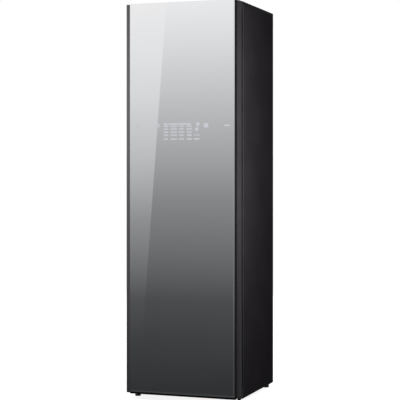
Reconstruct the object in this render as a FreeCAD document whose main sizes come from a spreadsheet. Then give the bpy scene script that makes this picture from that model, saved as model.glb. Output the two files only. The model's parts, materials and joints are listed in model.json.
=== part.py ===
import FreeCAD, Part
import math
import os
import re

import Sketcher
from FreeCAD import Vector

# Clothes care steam cabinet: a tall free-standing steel cabinet behind one full-height mirror door.
# Inside are a hanging chamber with a swaying hanger rail, a trouser press on the door's inner side,
# two water tanks, and a heat pump, a blower and a steam generator in the plinth.
#
# Millimetres, +Z up, origin on the floor under the middle of the cabinet, the mirror faces -Y.

sizes = {
    # cabinet
    "overall_width": 580,
    "overall_depth": 615,
    "overall_height": 1960,
    "base_lift": 18,             # floor to the underside of the base
    "plinth_height": 430,        # floor to the floor of the chamber
    "head_space": 160,           # chamber ceiling to the cabinet's top
    "side_insulation": 40,
    "rear_insulation": 55,
    "steel": 1,
    "bend_radius": 4,
    "front_flange": 34,
    "rear_flange": 20,
    "fit_gap": 0.3,
    "running_gap": 0.08,
    "top_cover_height": 20,
    "top_cover_wall": 3,
    "top_cover_round": 5,
    # door
    "door_thickness": 98,
    "door_lift": 31,
    "door_drop": 5,              # door's top below the cabinet's top
    "door_gap": 9,               # door to cabinet, bridged by the gasket
    "glass_thickness": 4,
    "glass_bevel": 1.2,
    "glass_side_inset": 0.6,
    "glass_foot": 10,            # lip of the edge trim under the glass
    "trim_depth": 22,
    "trim_width": 14,
    "frame_wall": 3,
    "frame_end_inset": 3,
    "frame_edge_round": 6,
    "grip_width": 28.5,
    "grip_channel": 36.5,
    "grip_step": 2,              # grip's face ahead of the frame's front
    "grip_sheet": 2.5,
    "grip_lip": 9,
    "grip_edge_round": 1,
    "liner_sheet": 2.5,
    "plateau_gap": 14,
    "plateau_rise": 19.5,
    "plateau_round": 24,
    "seal_inset": 20,
    "seal_lower_rise": 39,
    "seal_upper_drop": 45,
    "seal_width": 14,
    "seal_base": 3,
    "seal_lobe_width": 8,
    "seal_lobe_round": 2.5,
    "door_foam_inset": 16,
    # hinges
    "hinge_inset": 15,
    "hinge_ahead": 30.5,         # axis ahead of the door's back
    "hinge_plate": 4,
    "hinge_washer": 1.5,
    "hinge_leg": 36,
    "hinge_pin_radius": 5,
    "hinge_pin_length": 20,
    "bush_wall": 2.5,
    "bush_length": 15,
    "bush_flange": 3,
    # display behind the glass
    "display_width": 330,
    "display_height": 110,
    "display_depth": 14,
    "display_offset": 30,
    "display_middle": 1308,
    "display_round": 4,
    # trouser press
    "press_width": 360,
    "press_height": 800,
    "press_lift": 190,           # above the chamber's floor
    "press_board_depth": 12,
    "press_gap": 8,
    "press_cover_depth": 18,
    "press_round": 18,
    "press_edge_round": 5,
    "press_axis_side": 16,       # hinge axis beside the board
    "press_axis_depth": 22,      # hinge axis behind the plateau
    "press_strip_width": 20,
    "press_strip_depth": 4,
    "press_barrel_radius": 6,
    "press_barrel_length": 30,
    "press_barrel_rise": 20,
    "press_barrel_count": 3,
    "press_barrel_pitch": 350,
    "press_pin_radius": 2.5,
    "press_pin_length": 20,
    "press_groove_width": 6,
    "press_groove_depth": 2,
    "press_groove_pitch": 60,
    "press_groove_count": 5,
    "press_groove_round": 2.5,
    "press_groove_margin": 70,
    "press_pull_width": 12,
    "press_pull_height": 90,
    # trouser clamp above the press
    "clamp_width": 220,
    "clamp_height": 42,
    "clamp_sheet": 4,
    "clamp_rise": 10,
    "clamp_barrel_radius": 4,
    "clamp_pin_radius": 2,
    "clamp_pin_length": 6,
    "clamp_ear": 6,
    "clamp_lip": 12,
    "clamp_axis_depth": 19,
    # chamber
    "chamber_round": 18,
    "wall_rib_count": 5,
    "wall_rib_width": 26,
    "wall_rib_depth": 3,
    "wall_rib_lift": 70,         # over the shelf, and under the ceiling
    "chamber_flange_inset": 2,
    "ledge_height": 15,
    "ledge_width": 20,
    "shelf_height": 118,
    "shelf_front_gap": 100,
    "shelf_rear_gap": 18,
    "shelf_side_gap": 13,
    "shelf_rod_radius": 3,
    "shelf_wire_radius": 2,
    "shelf_wire_count": 11,
    "light_width": 15,
    "light_depth": 5,
    "light_length": 900,
    "light_lift": 270,
    "light_setback": 36,
    "tray_thickness": 6,
    "tray_margin": 4,
    "tray_slot_width": 8,
    "tray_slot_length": 110,
    "tray_slot_pitch": 24,
    "tray_slot_count": 17,
    "tray_slot_rear": 20,
    "nozzle_side": 45,           # from the middle of the steam generator
    "nozzle_ahead": 78,
    "nozzle_radius": 24,
    "nozzle_spigot": 8,
    "nozzle_bore": 5,
    "nozzle_spigot_length": 25,
    "nozzle_rise": 13,
    "outlet_width": 240,
    "outlet_height": 90,
    "outlet_lift": 45,
    "outlet_depth": 9,
    "outlet_rim": 8,
    "blade_pitch": 14,
    "blade_count": 5,
    "blade_sheet": 2,
    "filter_width": 136,
    "filter_thickness": 16,
    "filter_depth": 84,
    "filter_setback": 205,
    "filter_play": 2,
    "filter_rim": 8,
    "filter_flange": 8,
    "filter_flange_height": 4,
    "filter_handle_width": 60,
    "filter_handle_height": 22,
    "filter_handle_sheet": 6,
    "filter_window_count": 3,
    "mesh_sheet": 1.2,
    # hanger drive above the chamber
    "drive_lift": 4,
    "drive_sheet": 3,
    "drive_front_gap": 110,
    "drive_length": 230,
    "drive_flange": 25,
    "rod_radius": 6,
    "rod_spacing": 90,
    "rod_height": 31,
    "rod_half_length": 186,
    "rod_post_thickness": 10,
    "rod_post_width": 24,
    "carriage_half_length": 150,
    "carriage_width": 124,
    "carriage_sheet": 4,
    "bearing_length": 40,
    "bearing_size": 26,
    "bearing_side": 95,
    "yoke_height": 10,
    "yoke_wall": 6,
    "crank_throw": 12,
    "crank_pin_radius": 4,
    "crank_pin_play": 1,
    "crank_radius": 22,
    "crank_disc": 8,
    "crank_gap": 2,
    "crank_shaft_radius": 5,
    "crank_shaft_length": 24,
    "crank_shaft_play": 2,
    "bridge_half_width": 95,
    "bridge_length": 120,
    "bridge_foot": 16,
    "bridge_gap": 4,
    "motor_radius": 34,
    "motor_cap_radius": 27,
    "motor_height": 44,
    "motor_gear_height": 24,
    "motor_flange": 4,
    "motor_flange_size": 84,
    "arm_side": 130,
    "arm_radius": 7,
    "arm_slot_play": 4,
    "rail_end_gap": 85,
    "rail_depth": 14,
    "rail_height": 30,
    "rail_drop": 70,             # chamber ceiling to the rail's top
    "rail_round": 5,
    "notch_pitch": 34,
    "notch_count": 7,
    "notch_width": 16,
    "notch_depth": 9,
    "rail_stroke": 10.6,
    # tank bay and tanks
    "bay_side_gap": 68,
    "bay_bottom": 160,
    "bay_top_drop": 25,
    "bay_depth": 156,
    "bay_divider": 6,
    "tank_recess": 50.5,
    "tank_side_play": 2,
    "tank_round": 10,
    "tank_wall": 2.5,
    "tank_lid": 5,
    "tank_lid_gap": 4,
    "tank_cap_radius": 16,
    "tank_cap_height": 3,
    "tank_grip_width": 90,
    "tank_grip_height": 16,
    "tank_grip_depth": 15,
    "tank_grip_sheet": 4,
    "tank_grip_drop": 60,
    # base and feet
    "base_height": 22,
    "base_sheet": 1.5,
    "foot_radius": 15,
    "foot_pad": 8,
    "foot_nut": 16,
    "foot_stem_radius": 5,
    "foot_stem_length": 16,
    "foot_boss_radius": 9,
    "foot_boss_height": 16,
    "foot_side_inset": 21,
    "foot_front_inset": 11,
    "foot_rear_inset": 60,
    # rear
    "rear_screw_radius": 4,
    "rear_screw_head": 1.2,
    "rear_screw_inset": 12,
    "rear_screw_end": 24,
    "rear_screw_count": 6,
    "rear_rib_width": 40,
    "rear_rib_depth": 3,
    "rear_rib_pitch": 150,
    "rear_rib_count": 3,
    "louvre_width": 110,
    "louvre_height": 6,
    "louvre_pitch": 16,
    "louvre_count": 12,
    "louvre_lift": 120,
    "louvre_side": 120,
    "gland_radius": 9,
    "gland_flange": 13,
    "gland_flange_sheet": 1.1,
    "gland_bore": 4.5,
    "gland_inset": 55,
    "gland_height": 75,
    # heat pump
    "duct_side_gap": 180,
    "duct_sheet": 2.5,
    "duct_bottom": 60,
    "duct_top": 260,
    "duct_neck": 80,
    "coil_side_gap": 10,
    "coil_bottom": 70,
    "coil_height": 180,
    "coil_depth": 36,
    "coil_header_radius": 8,
    "coil_tube": 3,
    "coil_tube_pitch": 20,
    "coil_tube_count": 8,
    "coil_pitch": 60,
    "coil_setback": 45.5,        # condenser ahead of the duct's rear wall
    "blower_radius": 82,
    "blower_depth": 58,
    "blower_rear_gap": 46.4,     # to the rear sheets, with the motor in it
    "blower_height": 165,
    "blower_sheet": 2.5,
    "blower_inlet": 50,
    "blower_mouth": 70,
    "wheel_radius": 62,
    "wheel_depth": 40,
    "wheel_blade_depth": 14,
    "wheel_blade_sheet": 2,
    "wheel_blade_count": 18,
    "wheel_shaft_radius": 4,
    "wheel_shaft_length": 14,
    "wheel_shaft_play": 1,
    "wheel_back_gap": 5,
    "blower_motor_radius": 28,
    "blower_motor_depth": 30,
    "riser_half_width": 100,
    "riser_depth": 44,
    "riser_bottom": 275,
    "compressor_inset": 95,
    "compressor_radius": 70,
    "compressor_height": 195,
    "compressor_shoulder": 18,
    "compressor_seam": 3,
    "compressor_plate": 3,
    "compressor_plate_width": 176,
    "compressor_plate_depth": 130,
    "mount_radius": 11,
    "mount_height": 18,
    "mount_waist": 3,
    "pipe_radius": 5,
    "pipe_bend": 16,
    "pipe_rise": 46,
    "pipe_stub_wall": 1,
    # steam generator, pumps and board
    "boiler_width": 130,
    "boiler_depth": 100,
    "boiler_height": 100,
    "boiler_inset": 85,
    "boiler_setback": 340,
    "boiler_round": 16,
    "boiler_flange": 6,
    "boiler_spigot": 9,
    "steam_pipe_radius": 6,
    "steam_pipe_bend": 24,
    "pump_radius": 22,
    "pump_height": 46,
    "pump_volute_radius": 27,
    "pump_volute_height": 14,
    "pump_spigot_radius": 5,
    "pump_spigot_length": 20,
    "pump_inset": 40,
    "pump_pitch": 66,
    "pump_count": 2,
    "pump_setback": 205,
    "board_width": 80,
    "board_height": 230,
    "board_sheet": 1.6,
    "board_tray": 18,
    "board_tray_wall": 2,
    "board_bottom": 110,
    "board_setback": 170,
    "board_chip": 22,
    "board_chip_rise": 8,
    "board_chip_count": 4,
}

# planes and edges that several pieces share, worked out from the sizes
places = {
    "half_width": "overall_width/2",
    "front": "-overall_depth/2",
    "rear": "overall_depth/2",
    "door_back": "front + door_thickness",
    "cabinet_front": "door_back + door_gap",
    "lid_bottom": "overall_height - top_cover_height",
    "base_floor": "base_lift + base_sheet",
    "base_top": "base_lift + base_height",
    "glass_back": "front + glass_thickness",
    "trim_back": "glass_back + trim_depth",
    "glass_left": "-half_width + grip_width + fit_gap",
    "glass_right": "half_width - glass_side_inset",
    "door_top": "overall_height - door_drop",
    "glass_bottom": "door_lift + glass_foot",
    "frame_bottom": "door_lift + frame_end_inset",
    "frame_top": "door_top - frame_end_inset",
    "channel_side": "-half_width + grip_width",
    "channel_back": "trim_back + grip_channel",
    "hinge_x": "half_width - hinge_inset",
    "hinge_y": "door_back - hinge_ahead",
    "hinge_bush_radius": "hinge_pin_radius + running_gap + bush_wall",
    "chamber_half": "half_width - side_insulation",
    "chamber_rear": "rear - rear_insulation",
    "ceiling": "overall_height - head_space",
    "skin_front": "cabinet_front + steel + fit_gap",
    "skin_back": "skin_front + liner_sheet",
    "skin_half": "half_width - steel - chamber_flange_inset",
    "skin_seam": "plinth_height - liner_sheet - fit_gap",
    "rear_sheet": "rear - 2*steel - fit_gap",
    "plateau": "door_back + plateau_rise",
    "plateau_half": "chamber_half - plateau_gap",
    "seal_half": "half_width - seal_inset",
    "seal_bottom": "door_lift + seal_lower_rise",
    "seal_top": "door_top - seal_upper_drop",
    "press_half": "press_width/2",
    "press_bottom": "plinth_height + press_lift",
    "press_top": "press_bottom + press_height",
    "press_x": "-press_half - press_axis_side",
    "press_y": "plateau + press_axis_depth",
    "board_face": "plateau + press_board_depth",
    "cover_front": "board_face + press_gap",
    "cover_back": "cover_front + press_cover_depth",
    "clamp_bottom": "press_top + clamp_rise",
    "clamp_y": "plateau + clamp_axis_depth",
    "clamp_z": "clamp_bottom + clamp_height",
    "shelf_level": "plinth_height + shelf_height",
    "shelf_half": "chamber_half - shelf_side_gap",
    "shelf_front": "cabinet_front + shelf_front_gap",
    "shelf_back": "chamber_rear - shelf_rear_gap",
    "nozzle_x": "-half_width + boiler_inset + nozzle_side",
    "nozzle_y": "cabinet_front + boiler_setback - nozzle_ahead",
    "outlet_bottom": "plinth_height + outlet_lift",
    "outlet_top": "outlet_bottom + outlet_height",
    "riser_top": "outlet_top + duct_sheet",
    "filter_y": "cabinet_front + filter_setback",
    "tray_half": "chamber_half - chamber_round - tray_margin",
    "tray_floor": "plinth_height + tray_thickness/2",
    "tray_top": "plinth_height + tray_thickness",
    "drive_floor": "ceiling + liner_sheet + drive_lift",
    "drive_top": "drive_floor + drive_sheet",
    "drive_front": "cabinet_front + drive_front_gap",
    "drive_y": "drive_front + drive_length/2",
    "rod_z": "drive_top + rod_height",
    "carriage_bottom": "rod_z + bearing_size/2",
    "carriage_top": "carriage_bottom + carriage_sheet",
    "yoke_top": "carriage_top + yoke_height",
    "crank_bottom": "yoke_top + crank_gap",
    "crank_top": "crank_bottom + crank_disc",
    "bridge_top": "crank_top + bridge_gap",
    "rail_top": "ceiling - rail_drop",
    "rail_half": "chamber_half - rail_end_gap",
    "bay_half": "half_width - bay_side_gap",
    "bay_top": "plinth_height - bay_top_drop",
    "bay_back": "cabinet_front + bay_depth",
    "tank_front": "cabinet_front + tank_recess",
    "tank_back": "bay_back - liner_sheet - tank_side_play/2",
    "tank_bottom": "bay_bottom + liner_sheet + fit_gap",
    "tank_top": "bay_top - liner_sheet - tank_lid - tank_cap_height - tank_lid_gap",
    "tank_inner": "bay_divider/2 + tank_side_play",
    "tank_outer": "bay_half - liner_sheet - tank_side_play",
    "tank_grip_z": "tank_top - tank_grip_drop",
    "duct_half": "half_width - duct_side_gap",
    "duct_front": "filter_y - duct_neck/2",
    "blower_back": "rear_sheet - blower_rear_gap",
    "blower_front": "blower_back - blower_depth",
    "duct_back": "blower_front - fit_gap",
    "riser_front": "chamber_rear + liner_sheet + fit_gap",
    "riser_back": "riser_front + riser_depth",
    "coil_half": "duct_half - coil_side_gap",
    "coil_top": "coil_bottom + coil_height",
    "header_x": "coil_half - coil_header_radius",
    "condenser_y": "duct_back - coil_setback",
    "evaporator_y": "condenser_y - coil_pitch",
    "compressor_x": "half_width - compressor_inset",
    "compressor_y": "(evaporator_y + condenser_y)/2",
    "compressor_z": "base_floor + mount_height + compressor_plate",
    "compressor_top": "compressor_z + compressor_height",
    "boiler_x": "-half_width + boiler_inset",
    "boiler_y": "cabinet_front + boiler_setback",
    "boiler_top": "base_floor + boiler_height",
    "pump_y": "cabinet_front + pump_setback",
    "board_y": "cabinet_front + board_setback",
}

doc = FreeCAD.newDocument("clothes_care_cabinet")


# ---- sheet and expressions ----

def bind(text, own=()):
    """an expression whose plain words become cells of the two sheets"""
    def cell(match):
        word = match.group()
        if word in own:
            return word
        if word in sizes:
            return f"dims.{word}"
        if word in places:
            return f"lines.{word}"
        return word
    return re.sub(r"[a-z][a-z_]+", cell, str(text))


def make_sheet(name, cells):
    sheet = doc.addObject("Spreadsheet::Sheet", name)
    for row, (alias, content) in enumerate(cells.items(), 1):
        sheet.set(f"A{row}", alias)
        sheet.set(f"B{row}", content)
        sheet.setAlias(f"B{row}", alias)
    doc.recompute()
    return sheet


dims = make_sheet("dims", {alias: str(size) for alias, size in sizes.items()})
lines = make_sheet("lines", {alias: "=" + bind(rule, places) for alias, rule in places.items()})


def value(text):
    return float(dims.evalExpression(bind(text)))


# ---- sketches ----

def pin_down(sketch, kind, spots, rule):
    """one driving constraint, bound to the sheet"""
    index = sketch.addConstraint(Sketcher.Constraint(kind, *spots, value(rule)))
    sketch.setExpression(f"Constraints[{index}]", bind(rule))


def draw_polygon(sketch, *points):
    first = sketch.GeometryCount
    corners = [Vector(value(across), value(up), 0) for across, up in points]
    count = len(corners)
    for index, corner in enumerate(corners):
        sketch.addGeometry(Part.LineSegment(corner, corners[(index + 1) % count]))
    for index in range(count):
        ends = (first + index, 2, first + (index + 1) % count, 1)
        sketch.addConstraint(Sketcher.Constraint("Coincident", *ends))
    for index, (across, up) in enumerate(points):
        pin_down(sketch, "DistanceX", (-1, 1, first + index, 1), across)
        pin_down(sketch, "DistanceY", (-1, 1, first + index, 1), up)


def draw_circle(sketch, across, up, radius):
    index = sketch.GeometryCount
    middle = Vector(value(across), value(up), 0)
    sketch.addGeometry(Part.Circle(middle, Vector(0, 0, 1), value(radius)))
    pin_down(sketch, "DistanceX", (-1, 1, index, 3), across)
    pin_down(sketch, "DistanceY", (-1, 1, index, 3), up)
    pin_down(sketch, "Radius", (index,), radius)


def draw_rounded(sketch, left, low, right, high, radius):
    first = sketch.GeometryCount
    x0, y0, x1, y1, r = (value(rule) for rule in (left, low, right, high, radius))
    sides = [((x0 + r, y0), (x1 - r, y0)), ((x1, y0 + r), (x1, y1 - r)),
             ((x1 - r, y1), (x0 + r, y1)), ((x0, y1 - r), (x0, y0 + r))]
    middles = [(x1 - r, y0 + r), (x1 - r, y1 - r), (x0 + r, y1 - r), (x0 + r, y0 + r)]
    for turn, ((start, end), middle) in enumerate(zip(sides, middles)):
        sketch.addGeometry(Part.LineSegment(Vector(*start, 0), Vector(*end, 0)))
        corner = Part.Circle(Vector(*middle, 0), Vector(0, 0, 1), r)
        begin = (turn - 1)*math.pi/2
        sketch.addGeometry(Part.ArcOfCircle(corner, begin, begin + math.pi/2))
    for step in range(8):
        ends = (first + step, 2, first + (step + 1) % 8, 1)
        sketch.addConstraint(Sketcher.Constraint("Tangent", *ends))
    for step, kind in ((0, "Horizontal"), (2, "Vertical"), (4, "Horizontal"), (6, "Vertical")):
        sketch.addConstraint(Sketcher.Constraint(kind, first + step))
    for step in (3, 5, 7):
        sketch.addConstraint(Sketcher.Constraint("Equal", first + 1, first + step))
    pin_down(sketch, "Radius", (first + 1,), radius)
    pin_down(sketch, "DistanceY", (-1, 1, first, 1), low)
    pin_down(sketch, "DistanceX", (-1, 1, first + 2, 1), right)
    pin_down(sketch, "DistanceY", (-1, 1, first + 4, 1), high)
    pin_down(sketch, "DistanceX", (-1, 1, first + 6, 1), left)


def polygon(*points):
    return draw_polygon, points


def rectangle(left, low, right, high):
    return draw_polygon, ((left, low), (right, low), (right, high), (left, high))


def rounded(left, low, right, high, radius):
    return draw_rounded, (left, low, right, high, radius)


def circle(across, up, radius):
    return draw_circle, (across, up, radius)


def origin_of(body, role):
    return next(item for item in body.Origin.OriginFeatures if item.Role == role)


def new_sketch(body, plane, at):
    """a sketch on one of the body's own planes; the XZ plane's normal points to -Y"""
    sketch = body.newObject("Sketcher::SketchObject", f"{body.Label}_{plane}")
    sketch.AttachmentSupport = (origin_of(body, f"{plane.upper()}_Plane"), [""])
    sketch.MapMode = "FlatFace"
    sign = -1 if plane == "xz" else 1
    sketch.setExpression("AttachmentOffset.Base.z", bind(f"{sign}*({at})"))
    return sketch


def outline_sketch(body, plane, at, outlines):
    sketch = new_sketch(body, plane, at)
    for draw, rules in outlines:
        draw(sketch, *rules)
    return sketch


# ---- features ----

nodes = []
same_place = 1e-4


def new_body(label):
    body = doc.addObject("PartDesign::Body", label)
    body.Label = label
    nodes.append(body)
    return body


def place(item, x, y, z):
    for axis, rule in zip("xyz", (x, y, z)):
        item.setExpression(f"Placement.Base.{axis}", bind(rule))


def prism(body, kind, plane, at, low, high, outlines):
    feature = body.newObject(f"PartDesign::{kind}", f"{body.Label}_{kind}")
    feature.Profile = outline_sketch(body, plane, at, outlines)
    feature.setExpression("Length", bind(f"({high}) - ({low})"))
    return feature


def pad(body, plane, low, high, *outlines):
    """material between two levels along the axis across the plane"""
    return prism(body, "Pad", plane, high if plane == "xz" else low, low, high, outlines)


def cut(body, plane, low, high, *outlines):
    """the same, taken away"""
    return prism(body, "Pocket", plane, low if plane == "xz" else high, low, high, outlines)


def turn(body, plane, outline):
    """a solid of revolution about the sketch's upright axis"""
    sketch = outline_sketch(body, plane, 0, [outline])
    feature = body.newObject("PartDesign::Revolution", f"{body.Label}_turned")
    feature.Profile = sketch
    feature.ReferenceAxis = (sketch, ["V_Axis"])
    feature.Angle = 360


def repeat(body, features, axis, pitch, count):
    row = body.newObject("PartDesign::LinearPattern", f"{body.Label}_row")
    row.Originals = features
    row.Direction = (origin_of(body, f"{axis.upper()}_Axis"), [""])
    row.setExpression("Length", bind(f"({pitch})*({count} - 1)"))
    row.setExpression("Occurrences", bind(count))
    body.Tip = row


def ring(body, features, axis, count):
    turned = body.newObject("PartDesign::PolarPattern", f"{body.Label}_ring")
    turned.Originals = features
    turned.Axis = (origin_of(body, f"{axis.upper()}_Axis"), [""])
    turned.Angle = 360
    turned.setExpression("Occurrences", bind(count))
    body.Tip = turned


def mirror(body, features, plane):
    pair = body.newObject("PartDesign::Mirrored", f"{body.Label}_pair")
    pair.Originals = features
    pair.MirrorPlane = (origin_of(body, f"{plane.upper()}_Plane"), [""])
    body.Tip = pair


def edges(feature, along, **at):
    """names of the straight edges along one axis that lie at the given coordinates"""
    doc.recompute()
    wanted = {axis: [value(rule) for rule in rules] for axis, rules in at.items()}
    names = []
    for number, edge in enumerate(feature.Shape.Edges, 1):
        box = edge.BoundBox
        low = {"x": box.XMin, "y": box.YMin, "z": box.ZMin}
        span = {"x": box.XLength, "y": box.YLength, "z": box.ZLength}
        straight = edge.Curve.TypeId == "Part::GeomLine"
        aligned = all(span[axis] < same_place for axis in "xyz" if axis != along)
        here = all(min(abs(low[axis] - spot) for spot in spots) < same_place for axis, spots in wanted.items())
        if straight and aligned and here:
            names.append(f"Edge{number}")
    return names


def rim(feature, axis, level):
    """names of all edges, curved ones too, that lie in one level plane across the axis"""
    doc.recompute()
    names = []
    for number, edge in enumerate(feature.Shape.Edges, 1):
        box = edge.BoundBox
        low = {"x": box.XMin, "y": box.YMin, "z": box.ZMin}[axis]
        high = {"x": box.XMax, "y": box.YMax, "z": box.ZMax}[axis]
        if abs(low - value(level)) < same_place and abs(high - value(level)) < same_place:
            names.append(f"Edge{number}")
    return names


def round_edges(body, feature, names, radius):
    fillet = body.newObject("PartDesign::Fillet", f"{body.Label}_round")
    fillet.Base = (feature, names)
    fillet.setExpression("Radius", bind(radius))
    return fillet


def bevel_edges(body, feature, names, width):
    chamfer = body.newObject("PartDesign::Chamfer", f"{body.Label}_bevel")
    chamfer.Base = (feature, names)
    chamfer.setExpression("Size", bind(width))


# ---- cabinet shell ----

def side_panel(label, side):
    """steel sheet folded in at the front and at the rear"""
    body = new_body(label)
    outer = f"{side}*half_width"
    inner = f"{side}*(half_width - steel)"
    front_edge = f"{side}*(half_width - front_flange)"
    rear_edge = f"{side}*(half_width - rear_flange)"
    sheet = pad(body, "xy", "base_lift", "lid_bottom", polygon(
        (outer, "cabinet_front"), (front_edge, "cabinet_front"),
        (front_edge, "cabinet_front + steel"), (inner, "cabinet_front + steel"),
        (inner, "rear - steel"), (rear_edge, "rear - steel"), (rear_edge, "rear"), (outer, "rear")))
    outside = round_edges(body, sheet, edges(sheet, "z", x=[outer]), "bend_radius")
    round_edges(body, outside, edges(outside, "z", x=[inner]), "bend_radius - steel")


def top_cover():
    body = new_body("top_cover")
    block = pad(body, "xy", "lid_bottom", "overall_height",
                rectangle("-half_width", "cabinet_front", "half_width", "rear"))
    corners = round_edges(body, block, edges(block, "z"), "bend_radius")
    round_edges(body, corners, rim(corners, "z", "overall_height"), "top_cover_round")
    cut(body, "xy", "lid_bottom", "overall_height - top_cover_wall", rounded(
        "-half_width + top_cover_wall", "cabinet_front + top_cover_wall",
        "half_width - top_cover_wall", "rear - top_cover_wall", "top_cover_wall"))


def back_panel():
    """sheet with pressed upright ribs, held by the rear flanges"""
    body = new_body("back_panel")
    edge = "(half_width - bend_radius - fit_gap)"
    back = "rear_sheet + steel"
    pad(body, "xz", "rear_sheet", back, rectangle(
        f"-{edge}", "plinth_height", edge, "lid_bottom - fit_gap"))
    rib = pad(body, "xz", "rear_sheet - rear_rib_depth", "rear_sheet", rounded(
        "-rear_rib_pitch - rear_rib_width/2", "riser_top + rear_rib_width",
        "-rear_rib_pitch + rear_rib_width/2", "ceiling", "rear_rib_width/3"))
    press = cut(body, "xz", "rear_sheet + steel - rear_rib_depth", back, rounded(
        "-rear_rib_pitch - rear_rib_width/2 + steel", "riser_top + rear_rib_width + steel",
        "-rear_rib_pitch + rear_rib_width/2 - steel", "ceiling - steel", "rear_rib_width/3 - steel"))
    repeat(body, [rib, press], "x", "rear_rib_pitch", "rear_rib_count")


def rear_service_cover():
    """lower rear sheet with two columns of air slots and the cord's hole"""
    body = new_body("rear_service_cover")
    edge = "(half_width - bend_radius - fit_gap)"
    pad(body, "xz", "rear_sheet", "rear_sheet + steel", rectangle(
        f"-{edge}", "base_top + fit_gap", edge, "plinth_height - fit_gap"))
    cut(body, "xz", "rear_sheet", "rear_sheet + steel",
        circle("half_width - gland_inset", "gland_height", "gland_radius + fit_gap"))
    slots = [cut(body, "xz", "rear_sheet", "rear_sheet + steel", rectangle(
        f"{side}*louvre_side - louvre_width/2", "louvre_lift",
        f"{side}*louvre_side + louvre_width/2", "louvre_lift + louvre_height")) for side in (-1, 1)]
    repeat(body, slots, "z", "louvre_pitch", "louvre_count")


def base_frame():
    """steel tray with bored bosses for the levelling feet"""
    body = new_body("base_frame")
    edge = "(half_width - steel)"
    low = "cabinet_front + steel"
    high = "rear - steel"
    block = pad(body, "xy", "base_lift", "base_top", rectangle(f"-{edge}", low, edge, high))
    round_edges(body, block, edges(block, "z"), "bend_radius - steel")
    cut(body, "xy", "base_floor", "base_top", rectangle(
        f"-{edge} + base_sheet", f"{low} + base_sheet", f"{edge} - base_sheet", f"{high} - base_sheet"))
    for side in (-1, 1):
        across = f"{side}*(half_width - foot_side_inset)"
        pad(body, "xy", "base_lift", "base_floor + foot_boss_height",
            circle(across, "cabinet_front + foot_front_inset", "foot_boss_radius"))
        cut(body, "xy", "base_lift", "base_floor + foot_boss_height",
            circle(across, "cabinet_front + foot_front_inset", "foot_stem_radius + running_gap"))


def levelling_foot(label, side):
    """pad, hexagon and stem, which turns in the base's boss"""
    body = new_body(label)
    place(body, f"{side}*(half_width - foot_side_inset)", "cabinet_front + foot_front_inset", 0)
    turn(body, "xz", polygon(
        (0, 0), ("foot_radius - foot_pad/4", 0), ("foot_radius", "foot_pad/4"),
        ("foot_radius", "foot_pad*3/4"), ("foot_radius - foot_pad/4", "foot_pad"), (0, "foot_pad")))
    half = "foot_nut/2"
    point = "foot_nut/sqrt(3)"
    pad(body, "xy", "foot_pad", "base_lift - fit_gap", polygon(
        (point, 0), (f"{point}/2", half), (f"-{point}/2", half), (f"-{point}", 0),
        (f"-{point}/2", f"-{half}"), (f"{point}/2", f"-{half}")))
    pad(body, "xy", "base_lift - fit_gap", "base_lift + foot_stem_length",
        circle(0, 0, "foot_stem_radius"))


def rear_feet():
    """fixed pads under the rear of the base"""
    body = new_body("rear_feet")
    place(body, 0, "rear - foot_rear_inset", 0)
    profile = pad(body, "xy", 0, "base_lift",
                  circle("half_width - foot_side_inset", 0, "foot_radius"))
    mirror(body, [profile], "yz")


def rear_screws():
    """heads along both sides of the rear sheets"""
    body = new_body("rear_screws")
    across = "half_width - rear_flange - rear_screw_inset"
    face = "rear_sheet + steel"
    heads = [pad(body, "xz", face, f"{face} + rear_screw_head",
                 circle(f"{side}*({across})", "base_top + rear_screw_end", "rear_screw_radius"))
             for side in (-1, 1)]
    run = "(lid_bottom - base_top - 2*rear_screw_end)"
    repeat(body, heads, "z", f"{run}/(rear_screw_count - 1)", "rear_screw_count")


def cord_gland():
    """rubber bush in the rear cover, where the mains lead leaves"""
    body = new_body("cord_gland")
    place(body, "half_width - gland_inset", "rear_sheet", "gland_height")
    turn(body, "xy", polygon(
        ("gland_bore", "-gland_radius"), ("gland_radius", "-gland_radius"),
        ("gland_radius", "steel"), ("gland_flange", "steel"),
        ("gland_flange", "steel + gland_flange_sheet"), ("gland_bore", "steel + gland_flange_sheet")))


# ---- chamber ----

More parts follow.
